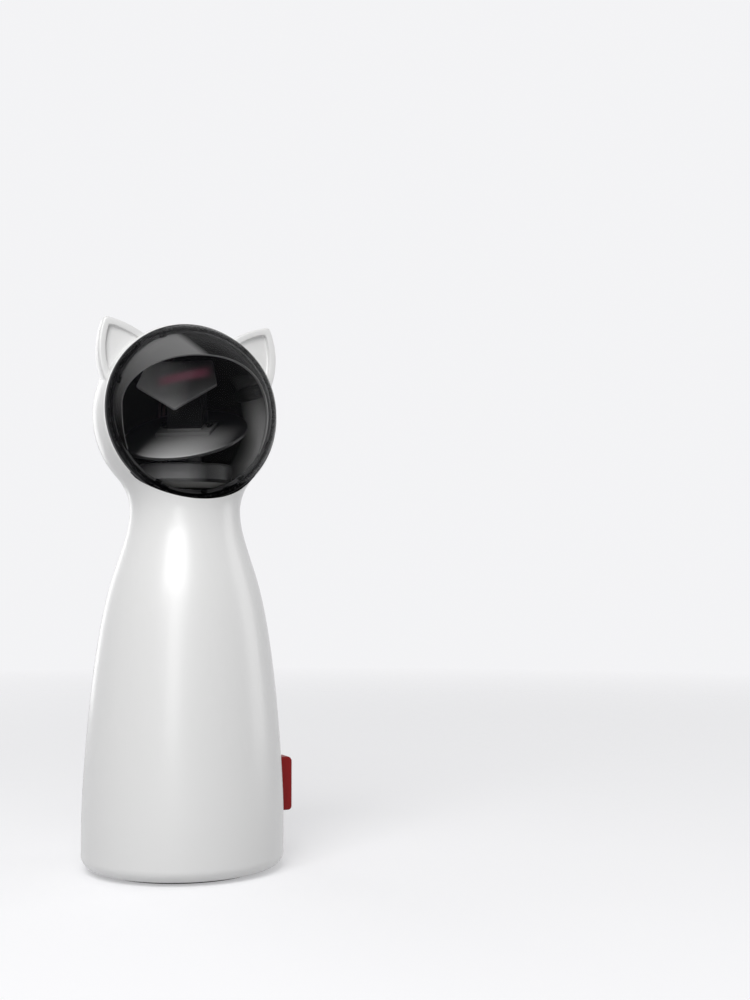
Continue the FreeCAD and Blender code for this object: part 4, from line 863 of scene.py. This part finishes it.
def inside_finish():
    """Black inside of the head, with a tall soft painted sheen, a painted highlight, on one wall."""
    f = Finish("inside black")
    x, y, z = f.split("ShaderNodeSeparateXYZ", "XYZ", {0: f.place})
    low_z, neck_z, top_z, middle_y, half_w = 146.0, 153.0, 195.0, 4.0, 12.5
    # The base colour lightens in a tall patch on one inner wall: a painted highlight.
    height = z.fall(top_z, 18.0) * z.rise(low_z, 12.0)
    from_centre = f.vector("DISTANCE", (0.0, 0.0, HEAD_Z * MM))
    wall = from_centre.rise(HEAD_R - WALL - SKIN, 0.4).most(z.fall(neck_z, 1.0))
    side = y.hump(middle_y, half_w) * x.rise(0.0, 6.0)
    painted_sheen = height * side * wall * f.spread(f.noise(60.0, 2.0), 0.94, 1.0)
    return f.surface(
        Base_Color=f.mix(painted_sheen, grey(0.004), grey(0.92)),
        Roughness=0.75,
        IOR=1.3,
        Normal=f.bump(f.noise(5200.0, 3.0), 0.3, 0.02),
    )


def brow_finish():
    """Charcoal gloss with a broad painted sheen, a painted highlight, over one side of the crescent."""
    f = Finish("brow charcoal")
    across = f.vector("DOT_PRODUCT", BROW_SWEEP)
    painted_sheen = across.fall(BROW_PAINTED_SHEEN_END, 4.0) * across.rise(BROW_PAINTED_SHEEN_END - BROW_PAINTED_SHEEN_LENGTH, BROW_PAINTED_SHEEN_LENGTH)
    cloud = f.spread(f.noise(90.0, 2.0), 0.92, 1.0)
    return f.surface(
        Base_Color=f.mix(painted_sheen * cloud, grey(0.004), grey(0.34)),
        Roughness=0.5,
        IOR=1.17,
        Normal=f.bump(f.noise(420.0, 2.0), 0.06, 0.004),
    )


def disc_finish(name, painted_sheen_peak, rough, ior):
    """Black plastic with a painted soft grey sheen, a painted reflection that grows towards the disc's low
    rim.
    """
    f = Finish(name)
    x, y, z = f.turned(ORIGIN, ROTOR.to_euler())
    length, middle_x, half_w = 33.0, 4.5, 18.0
    # The painted sheen stays near the disc's plane, so that the bracket's sides are black.
    above = z - TABLE_Z * MM - y * TABLE_SLANT
    top = above.rise(-0.5, 0.25) * above.fall(2.6, 0.4)
    sheen_spot = y.fall(length - TABLE_R, length) * x.hump(middle_x, half_w)
    painted_sheen = sheen_spot * top * f.spread(f.noise(70.0, 2.0), 0.96, 1.0)
    return f.surface(
        Base_Color=f.mix(painted_sheen, rgb(0.006, 0.006, 0.007), grey(painted_sheen_peak)),
        Roughness=f.spread(f.noise(400.0, 3.0), rough, rough + 0.04),
        IOR=ior,
    )


def mirror_finish():
    """Dark plate with a painted dull red streak and glow of the laser's light across it, and painted light
    that makes one end lighter.
    """
    f = Finish("brow plate")
    along, down, _ = f.turned(PAINTED_STREAK_CENTRE, PAINTED_STREAK_TURN)
    # Painted reflection and glow of the laser's red light, in base colour and emission.
    bow = down + along * along * 4.0
    core = along.hump(0.0, 10.5, 5.0) * bow.hump(0.0, 3.0)
    halo = along.hump(0.0, 12.0, 4.0) * bow.hump(0.0, 4.6)
    speck = f.spread(f.noise(900.0, 2.0), 0.75, 1.0)
    glow = (core**0.8) * 0.6 * speck + halo * 0.4
    # Painted light: the plate is lighter towards one end, with a faint grey glow there.
    painted_fade_tone = f.mix(along.fall(2.0, 16.0), rgb(0.11, 0.11, 0.112), rgb(0.46, 0.46, 0.465))
    painted_faint_glow = f.mix(along.fall(-3.0, 12.0), grey(0.0), rgb(0.045, 0.045, 0.046))
    return f.surface(
        Base_Color=f.mix(glow, painted_fade_tone, rgb(0.34, 0.10, 0.14)),
        Roughness=0.34,
        Emission_Color=f.mix(glow, painted_faint_glow, rgb(0.070, 0.024, 0.038)),
        Emission_Strength=0.9,
        Normal=f.bump(f.noise(3000.0, 2.0), 0.15, 0.01),
    )


def drum_finish():
    """Grey moulded drum with painted shade, darker towards one side."""
    f = Finish("drum grey")
    painted_shade = f.vector("DOT_PRODUCT", RIGHT_AHEAD).rise(3.5, 7.0)
    return f.surface(
        Base_Color=f.mix(painted_shade, rgb(0.27, 0.27, 0.272), grey(0.02)),
        Roughness=f.spread(f.noise(420.0, 4.0), 0.4, 0.5),
        Normal=f.bump(f.noise(5200.0), 0.3, 0.01),
    )


def board_finish():
    """Solder mask over copper tracks."""
    f = Finish("board green")
    tracks = {"Color1": grey(1.0), "Color2": grey(0.6), "Mortar": grey(0.0), "Mortar Size": 0.06, "Bias": 0.0}
    layout = {"Vector": f.place, "Scale": 380.0, "Brick Width": 1.4, "Row Height": 0.7}
    grid = f.node("ShaderNodeTexBrick", {}, {**tracks, **layout}, "Fac")
    tone = f.mix(grid, rgb(0.015, 0.135, 0.055), rgb(0.05, 0.26, 0.11))
    tone = f.mix(f.noise(160.0, 3.0) * 0.3, tone, rgb(0.01, 0.08, 0.035))
    return f.surface(Base_Color=tone, Roughness=0.32, Normal=f.bump(grid, 0.3, 0.03))


def jacket_finish():
    """Shrink film of the cells, dark with a copper-toned collar near the nub."""
    f = Finish("cell jacket")
    height = f.split("ShaderNodeSeparateXYZ", "Z", {0: f.place})[0]
    tone = f.mix(height.rise(46.0, 0.25), rgb(0.02, 0.022, 0.028), rgb(0.48, 0.24, 0.10))
    film = f.bump(f.noise(120.0, 2.0), 0.2, 0.05)
    return f.surface(Base_Color=tone, Roughness=0.25, Coat_Weight=0.4, Normal=film)


def lead_finish(name, colour):
    """Wire jacket, soft and slightly dusty."""
    f = Finish(name)
    dust = f.noise(700.0, 3.0)
    tone = f.mix(dust * 0.5, rgb(*colour), rgb(*(c * 1.6 + 0.02 for c in colour)))
    return f.surface(Base_Color=tone, Roughness=f.spread(dust, 0.4, 0.55), Normal=f.bump(dust, 0.2, 0.02))


def rubber_finish():
    """Soft rubber with a fine matt grain."""
    f = Finish("foot rubber")
    fine = f.noise(2400.0, 3.0, 0.7)
    tone = f.mix(f.noise(150.0), rgb(0.022, 0.022, 0.023), grey(0.05))
    return f.surface(Base_Color=tone, Roughness=f.spread(fine, 0.72, 0.9), Normal=f.bump(fine, 0.5, 0.04))


def lens_finish():
    """Small coated lens."""
    f = Finish("lens")
    tone = f.mix(f.noise(900.0), rgb(0.10, 0.015, 0.03), rgb(0.18, 0.03, 0.05))
    return f.surface(Base_Color=tone, Roughness=0.05, Alpha=0.8, IOR=1.5)


WHITE = moulded("shell white", (0.74, 0.74, 0.735), 0.38, coat=0.5, ior=1.7, drift=0.012)
INSIDE = inside_finish()
SMOKED = smoked_clear()
BLACK = moulded("satin black", (0.018, 0.018, 0.019), 0.42, grain=0.02)
RING = moulded("ring black", (0.070, 0.070, 0.072), 0.5, grain=0.01, ior=1.35)
DEEP = moulded("deep black", (0.004, 0.004, 0.004), 0.85, grain=0.01, ior=1.2)
# Lighter grey for the brow's opening edge: a painted highlight along it.
BROW_LIP_HIGHLIGHT = moulded("brow lip", (0.30, 0.30, 0.30), 0.35, grain=0.004)
BROW = brow_finish()
DISC = disc_finish("disc black", 0.72, 0.34, 1.5)
# The bracket carries the disc's painted reflection on its foot.
BRACKET = disc_finish("bracket black", 0.55, 0.8, 1.2)
DRUM = drum_finish()
RED = moulded("switch red", (0.25, 0.002, 0.003), 0.42, grain=0.008, ior=1.35)
STREAKED = mirror_finish()
RUBBER = rubber_finish()
INNER_WHITE = moulded("inner white", (0.62, 0.62, 0.60), 0.5, grain=0.02)
NYLON = moulded("gear nylon", (0.66, 0.63, 0.54), 0.45, peel=0.02)
CHIP = moulded("chip black", (0.012, 0.012, 0.013), 0.5, grain=0.015)
STEEL = turned_metal("plain steel", (0.55, 0.55, 0.56), 0.35, 0.004)
NICKEL = turned_metal("nickel plate", (0.66, 0.65, 0.62), 0.22)
BRASS = turned_metal("turned brass", (0.70, 0.50, 0.20), 0.28, 0.006)
CAN = turned_metal("motor can", (0.52, 0.52, 0.54), 0.3, 0.005)
BOARD = board_finish()
JACKET = jacket_finish()
LEAD_RED = lead_finish("lead red", (0.38, 0.012, 0.012))
LEAD_DARK = lead_finish("lead dark red", (0.030, 0.004, 0.004))
LEAD_BLACK = lead_finish("lead black", (0.015, 0.015, 0.015))
LENS = lens_finish()


def dress(obj, finish):
    """Gives an object one material."""
    obj.data.materials.clear()
    obj.data.materials.append(finish)


def redress(obj, finish, chosen):
    """Gives the faces that are chosen a second material."""
    obj.data.materials.append(finish)
    for face in obj.data.polygons:
        if chosen(face):
            face.material_index = 1


def finish_piece(obj, name, body, slot, finish, *nodes, angle=34.0):
    """Names, shades and dresses a piece, hangs it on its body, and hides the nodes it stands for."""
    obj.name = name
    obj.data.name = name
    obj.data.shade_smooth()
    obj.data.set_sharp_from_angle(angle=math.radians(angle))
    dress(obj, finish)
    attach(obj, body)
    if nodes:
        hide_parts(*nodes)
    return obj


# ======== shells, made
def on_inner_wall(face):
    """Whether a shell's face is on the inner wall of the head or neck."""
    at = face.center / MM
    if at.z <= NECK_Z:
        return False
    if at.z > HEAD_FLOOR_Z:
        return (at - Vector((0, 0, HEAD_Z))).length < HEAD_R - SKIN
    return math.hypot(math.hypot(at.x, at.y) - NECK_ARC_X, at.z - NECK_Z) > NECK_ROUND + SKIN


whole = whole_shell()
front = finish_piece(front_half(whole), "shell_front", "housing", "shell_white", WHITE, "front_shell")
rear = finish_piece(rear_half(whole), "shell_rear", "housing", "shell_white", WHITE, "rear_shell")
bpy.data.objects.remove(whole)
# The inner walls of the head and neck get the black inside finish, which carries a painted highlight.
redress(front, INSIDE, on_inner_wall)
redress(rear, INSIDE, on_inner_wall)


# ======== dome, ring, brow
def dome():
    """Hollow part of a ball with a rounded edge."""
    edge = math.degrees(math.asin((DOME_BACK + 0.25) / DOME_R))
    inner_edge = math.degrees(math.asin((DOME_BACK + 0.15) / DOME_IN_R))
    outer = arc(0, 0, DOME_R, 90, edge, 64)
    inner = arc(0, 0, DOME_IN_R, inner_edge, 90, 56)
    outer[0], inner[-1] = (0.0, DOME_R), (0.0, DOME_IN_R)
    rim_out = math.sqrt(DOME_R**2 - DOME_BACK**2)
    line = outer + [(rim_out - 0.12, DOME_BACK + 0.02), (rim_out - 0.3, DOME_BACK)]
    line += [(inner[0][0] + 0.2, DOME_BACK)] + inner
    return lathe("dome", line, FACE_STEPS, FACE)


def ring():
    """Black ring with its collar, edges eased."""
    line = rounded(box_outline((RING_IN_R, RING_OUT_R), (RIM_FORWARD, DOME_BACK)), [0.16] * 4, 3)
    collar_box = box_outline((COLLAR_OUT_R - COLLAR_T, COLLAR_OUT_R), (DOME_BACK - 0.1, COLLAR_TOP))
    collar = lathe("collar", rounded(collar_box, [0, 0, 0.15, 0.15], 3), FACE_STEPS, FACE)
    return join(lathe("ring", line, FACE_STEPS, FACE), collar)


def copies_tree(name, sizes, layout):
    """Node tree that sets copies of a form on a layout's points, and the identifiers of its inputs."""
    group = bpy.data.node_groups.new(name, "GeometryNodeTree")
    keys = {}
    for label, kind in {"Geometry": "Geometry", **sizes, "Material": "Material"}.items():
        made = group.interface.new_socket(label, in_out="INPUT", socket_type="NodeSocket" + kind)
        keys[label] = made.identifier
    group.interface.new_socket("Geometry", in_out="OUTPUT", socket_type="NodeSocketGeometry")
    tree = Tree(group)
    given = dict(zip(keys, tree.split("NodeGroupInput", keys, {})))
    spots = layout(tree, given)
    copies = tree.node("GeometryNodeInstanceOnPoints", {}, {"Instance": given["Geometry"], **spots})
    real = tree.node("GeometryNodeRealizeInstances", {}, {0: copies})
    dressed = tree.node("GeometryNodeSetMaterial", {}, {"Geometry": real, "Material": given["Material"]})
    tree.node("NodeGroupOutput", {}, {0: dressed})
    return group, keys


def round_a_ring(tree, given):
    """Points evenly round a ring, with each copy turned outward."""
    circle = tree.node("GeometryNodeMeshCircle", {}, {"Vertices": given["Count"], "Radius": given["Radius"]})
    where = tree.node("GeometryNodeInputPosition", {}, {})
    axes = {"axis": "X", "pivot_axis": "Z"}
    outward = tree.node("FunctionNodeAlignRotationToVector", axes, {"Vector": where})
    return {"Points": circle, "Rotation": outward}


def on_marks(tree, given):
    """The points of another object."""
    return {"Points": tree.node("GeometryNodeObjectInfo", {}, {0: given["Places"]}, "Geometry")}


RING_TREE = copies_tree("copies round a ring", {"Count": "Int", "Radius": "Float"}, round_a_ring)
POINTS_TREE = copies_tree("copies on points", {"Places": "Object"}, on_marks)


def repeat(obj, tree, values):
    """Runs a node tree on an object and keeps the result as plain mesh."""
    group, keys = tree
    copies = obj.modifiers.new("copies", "NODES")
    copies.node_group = group
    for label, value in values.items():
        copies[keys[label]] = value
    return settle(obj)


def clips():
    """Snap clips that hold the dome, evenly set round the ring."""
    clip = block("clip", (-COLLAR_T, -CLIP_LEAN), about(0, CLIP_W / 2), (0.0, CLIP_H))
    soften(clip, 0.1, 2)
    repeat(clip, RING_TREE, {"Count": CLIP_COUNT, "Radius": COLLAR_OUT_R * MM, "Material": BLACK})
    clip.data.transform(scaled(FACE @ lift(DOME_BACK) @ turn(180 / CLIP_COUNT)))
    return clip


def snaps():
    """Small black stops between the brow and the dome, standing on the ring's collar."""
    across, along, upward = (30.9, 32.0), about(0, 1.15), (COLLAR_TOP - 0.3, COLLAR_TOP + 1.0)
    stops = [block("stop", across, along, upward, FACE @ turn(angle)) for angle in SNAP_ANGLES]
    return together("stops", [soften(stop, 0.15, 2) for stop in stops])


def brow_edge(angle):
    """Distance of the opening's edge from the face's axis, at an angle from the top."""
    s, c = abs(math.sin(angle)) / BROW_HALF_W, math.cos(angle)
    c = abs(c) / (BROW_UP if c > 0 else BROW_DOWN)
    return (s**BROW_FULLNESS + c**BROW_FULLNESS) ** (-1 / BROW_FULLNESS)


def brow_section(angle):
    """Closed loop through the brow at an angle from the top: outer skin, lip and inner skin."""
    edge = brow_edge(angle)
    edge_z = math.sqrt(BROW_R**2 - edge**2)
    across = [BROW_RIM_R + (edge - BROW_RIM_R) * i / 12 for i in range(13)]
    loop = [(rho, math.sqrt(BROW_R**2 - rho**2)) for rho in across]
    loop += [(edge - 0.22, edge_z - 0.12), (edge - 0.36, edge_z - 0.4)]
    under = [edge - 0.3 + (max(BROW_IN_RIM_R, edge - 0.2) - edge + 0.3) * i / 8 for i in range(9)]
    loop += [(rho, math.sqrt(max(BROW_IN_R**2 - rho**2, DOME_BACK**2))) for rho in under]
    return [(rho * math.sin(angle), rho * math.cos(angle), z) for rho, z in loop]


def brow():
    """Dark brow inside the dome: a crescent that runs out into the ring on both sides."""
    limit = math.radians(40)
    while brow_edge(limit) < BROW_RIM_R - 0.35:
        limit += math.radians(0.25)
    steps = 120
    return skin("brow", [brow_section(-limit + 2 * limit * k / steps) for k in range(steps + 1)], FACE)


def on_brow_lip(face):
    """Whether a face of the brow is on the edge of its opening."""
    at = TO_FACE @ (face.center / MM)
    edge = brow_edge(math.atan2(at.x, at.y))
    return math.hypot(at.x, at.y) < edge + 0.02 and at.length > BROW_IN_R + 0.15


finish_piece(dome(), "dome_smoked", "housing", "smoked_clear", SMOKED, "smoked_dome", angle=40)
plain_ring = ring()
ring_faces = len(plain_ring.data.polygons)
face_ring = together("ring", [plain_ring, clips(), snaps()])
finish_piece(face_ring, "ring_black", "housing", "black_plastic", RING, "dome_ring")
redress(face_ring, DEEP, lambda face: face.index >= ring_faces)
crescent = finish_piece(brow(), "brow_charcoal", "housing", "brow_black", BROW, "bezel", angle=50)
# The edge of the brow's opening is given a lighter grey, a painted highlight along it.
redress(crescent, BROW_LIP_HIGHLIGHT, on_brow_lip)


# ======== rotor
def slant(drop):
    """Plane of the disc's top, lowered by a drop."""
    return lambda x, y: TABLE_Z + TABLE_SLANT * y - drop


def table():
    """Slanted disc with rounded edges and its hub."""
    outline = arc(0, 0, TABLE_R, 0, 360, LATHE_STEPS)[:-1]
    disc = prism("disc", outline, slant(TABLE_T), slant(0.0), ROTOR)
    soften(disc, 0.55, 4, 30)
    foot_line = [(HUB_BORE_R, HUB_LOW_Z), (HUB_R - 0.3, HUB_LOW_Z), (HUB_R, HUB_LOW_Z + 0.3)]
    hub = lathe("hub", foot_line + [(HUB_R, HUB_HIGH_Z), (HUB_BORE_R, HUB_HIGH_Z)], 64)
    under = prism("under", box_outline((-40, 40), (-40, 40)), 140.0, slant(HUB_BITE), ROTOR)
    merge(hub, under, "INTERSECT")
    return join(disc, hub)


def v_plate():
    """Plate with a V-shaped lower edge, its edges eased."""
    plate = prism("plate", rounded(PLATE_CORNERS, PLATE_ROUNDS, 4), -PLATE_T, 0.0, PLATE)
    return soften(plate, 0.22, 3, 40)


finish_piece(table(), "turntable_disc", "rotor", "disc_black", DISC, "turntable")
finish_piece(v_plate(), "mirror_v_plate", "rotor", "brow_black", STREAKED, "mirror_plate")


# ======== drum and foot
def drum():
    """Drum-shaped cover over the gears, with rounded rims."""
    flat_r, round_z = DRUM_R - DRUM_ROUND, DRUM_HIGH_Z - DRUM_ROUND
    line = [(flat_r, DRUM_LOW_Z), (DRUM_R, DRUM_LOW_Z + DRUM_ROUND)]
    line += arc(flat_r, round_z, DRUM_ROUND, 0, 90, 8)
    line += [(DRUM_BORE_R + 0.4, DRUM_HIGH_Z), (DRUM_BORE_R, DRUM_HIGH_Z - 0.4)]
    line += [(DRUM_BORE_R, DRUM_CEILING_Z), (DRUM_IN_R - 0.7, DRUM_CEILING_Z)]
    line += [(DRUM_IN_R, DRUM_CEILING_Z - 0.6), (DRUM_IN_R, DRUM_LOW_Z + 1.3)]
    line += [(DRUM_IN_R - DRUM_ROUND, DRUM_LOW_Z)]
    return lathe("drum", line)


def foot():
    """Soft ring with a rounded tread and a shallow groove round it."""
    inner, outer = TREAD_IN_R + TREAD_ROUND, TREAD_OUT_R - TREAD_ROUND
    line = [(TREAD_IN_R, TREAD_TOP_Z), (TREAD_IN_R, TREAD_ROUND)]
    line += arc(inner, TREAD_ROUND, TREAD_ROUND, 180, 270, 4)
    line += [(28.6, 0.0), (28.8, 0.18), (29.2, 0.18), (29.4, 0.0), (outer, 0.0)]
    line += arc(outer, TREAD_ROUND, TREAD_ROUND, 270, 360, 4) + [(TREAD_OUT_R, TREAD_TOP_Z)]
    return lathe("foot", line)


finish_piece(drum(), "gear_drum", "housing", "grey_plastic", DRUM, "gear_cover")
finish_piece(foot(), "foot_soft", "housing", "dark_rubber", RUBBER, "foot_ring")


# ======== switch
def cap():
    """Red slide cap with eased ends and its stem."""
    outline = rounded(box_outline((CAP_IN_X, CAP_OUT_X), about(SWITCH_Z, CAP_H / 2)), [0, 1.5, 1.9, 0], 6)
    body = prism("cap", outline, -CAP_W / 2, CAP_W / 2, UPRIGHT)
    soften(body, 0.7, 4, 40)
    stem = block("stem", (STEM_TIP_X, CAP_IN_X + 0.5), about(0, STEM_W / 2), about(SWITCH_Z, STEM_H / 2))
    return join(body, stem)


finish_piece(cap(), "slide_cap", "switch", "switch_red", RED, "switch_cap")


# ======== screws on the back
def rear_screw():
    """Screw with a cross recess, its head's underside at the origin, pointing along -Y."""
    crown = 0.5 * SCREW_HEAD_T
    line = [(0, -SCREW_L), (SCREW_R * 0.6, -SCREW_L), (SCREW_R, 1.2 - SCREW_L), (SCREW_R, 0)]
    line += [(SCREW_HEAD_R, 0), (SCREW_HEAD_R, crown)]
    line += arc(SCREW_HEAD_R - crown, crown, crown, 0, 90, 4)[1:] + [(0, SCREW_HEAD_T)]
    form = lathe("screw", line, 32)
    long, short = about(0, SCREW_HEAD_R * 0.62), about(0, RECESS_W / 2)
    depth = (SCREW_HEAD_T - RECESS_DEPTH, SCREW_HEAD_T + 1)
    cross = join(block("bar", long, short, depth), block("bar", short, long, depth))
    cut(form, cross)
    form.data.transform(turn(-90, "X"))
    return form


def back_screws():
    """The six screws of the rear cover."""
    places = bpy.data.meshes.new("screw places")
    places.from_pydata([Vector((x, SEAT_Y, z)) * MM for x, z in SCREW_PLACES], [], [])
    marks = add_object("screw places", places)
    screw = rear_screw()
    repeat(screw, POINTS_TREE, {"Places": marks, "Material": STEEL})
    bpy.data.objects.remove(marks)
    return screw


finish_piece(back_screws(), "rear_screws", "housing", "steel", STEEL, "shell_screws")

# ======== finishes of the carried-over nodes
CARRIED = {
    NICKEL: ["cover_contacts", "top_contacts", "usb_socket"],
    INNER_WHITE: ["battery_holder", "gear_deck"],
    JACKET: ["battery_cells"],
    STEEL: [
        "base_screws", "board_screws", "usb_screws", "deck_screws", "motor_screws", "laser_screws",
        "drum_axle", "axle_clip", "idler_pin", "motor_shaft",
    ],
    BOARD: ["main_board", "usb_board"],
    CHIP: ["board_components", "slide_switch", "switch_lever"],
    NYLON: ["drum_gear", "idler_gear"],
    BRASS: ["motor_pinion", "laser_module"],
    CAN: ["gear_motor"],
    BLACK: ["base_plate", "battery_cover"],
    DEEP: ["laser_housing", "turntable_screws"],
    BRACKET: ["mirror_bracket"],
    LENS: ["laser_lens"],
    LEAD_RED: ["battery_leads"],
    LEAD_DARK: ["laser_leads"],
    LEAD_BLACK: ["motor_leads"],
}
for finish, names in CARRIED.items():
    for name in names:
        dress(NODES[name], finish)


# ======== floor, light, camera
PALE = rgb(0.90, 0.90, 0.915)
FLOOR_REACH = 3000
FADE_START = 0.25
FADE_LENGTH = 0.9
LIGHT_AIM = Vector((0, 0, 0.12))
LEVEL_AHEAD = Vector((SIGHT_X, SIGHT_Y, 0.0)).normalized()
TO_RIGHT = Vector((LEVEL_AHEAD.y, -LEVEL_AHEAD.x, 0.0))
CAMERA_AT = Vector((-0.1798, -0.5535, 0.1162))
CAMERA_LENS = 52.96
CAMERA_TILT = math.radians(2.63)


def floor():
    """Pale floor that fades into the backdrop and keeps the shadow."""
    outline = box_outline(about(0, FLOOR_REACH), about(0, FLOOR_REACH))
    plane = solid("floor", [(x, y, 0) for x, y in outline], [(0, 1, 2, 3)])
    f = Finish("pale floor")
    near = (1.0 - (f.vector("LENGTH", ORIGIN) - FADE_START) / FADE_LENGTH).clamp()
    diffuse = f.node("ShaderNodeBsdfDiffuse", {}, {"Color": rgb(0.60, 0.60, 0.61)})
    glow = f.node("ShaderNodeEmission", {}, {"Color": PALE, "Strength": 0.43})
    dark = f.node("ShaderNodeEmission", {}, {"Color": grey(0.0), "Strength": 0.0})
    seen = f.node("ShaderNodeMixShader", {}, {0: f.seen(), 1: dark, 2: glow})
    both = f.node("ShaderNodeAddShader", {}, {0: diffuse, 1: seen})
    clear = f.node("ShaderNodeBsdfTransparent", {}, {})
    plane.data.materials.append(f.show(f.node("ShaderNodeMixShader", {}, {0: near, 1: clear, 2: both})))


def backdrop():
    """World that is white to the eye and in gloss, and lights at a plain level."""
    world = bpy.data.worlds.new("studio")
    SCENE.world = world
    world.use_nodes = True
    world.node_tree.nodes.clear()
    sky = Tree(world.node_tree)
    pale = sky.node("ShaderNodeBackground", {}, {"Color": PALE, "Strength": 1.0})
    light = sky.node("ShaderNodeBackground", {}, {"Color": grey(1.0), "Strength": 0.29})
    both = sky.node("ShaderNodeMixShader", {}, {0: sky.seen(), 1: light, 2: pale})
    sky.node("ShaderNodeOutputWorld", {}, {0: both})


def panel(name, right, ahead, up, size, strength):
    """Soft light aimed at the toy. Its place is right, ahead and up of the toy as the camera looks at it."""
    data = bpy.data.lights.new(name, "AREA")
    data.shape = "RECTANGLE"
    data.size, data.size_y = size
    data.energy = strength * math.pi * size[0] * size[1]
    lamp = add_object(name, data)
    lamp.location = TO_RIGHT * right + LEVEL_AHEAD * ahead + Vector((0, 0, up))
    lamp.rotation_euler = (LIGHT_AIM - lamp.location).to_track_quat("-Z", "Y").to_euler()


floor()
backdrop()
panel("key softbox", -0.13, -0.86, 1.00, (0.80, 0.80), 5.3)
panel("front band", -0.10, -1.00, 0.38, (0.30, 0.62), 2.5)
panel("right wall", 0.85, 0.28, 0.30, (0.40, 0.60), 1.6)
panel("left rim", -0.62, 0.80, 0.30, (0.30, 0.60), 1.5)
panel("top left", -0.42, 0.25, 0.85, (0.55, 0.30), 1.2)

lens = bpy.data.cameras.new("camera")
lens.lens = CAMERA_LENS
lens.sensor_width = 36.0
lens.clip_start = 0.01
camera = add_object("camera", lens)
camera.location = CAMERA_AT
line_of_sight = LEVEL_AHEAD * math.cos(CAMERA_TILT) + Vector((0, 0, math.sin(CAMERA_TILT)))
camera.rotation_euler = line_of_sight.to_track_quat("-Z", "Y").to_euler()
SCENE.camera = camera
SCENE.view_settings.view_transform = "Standard"
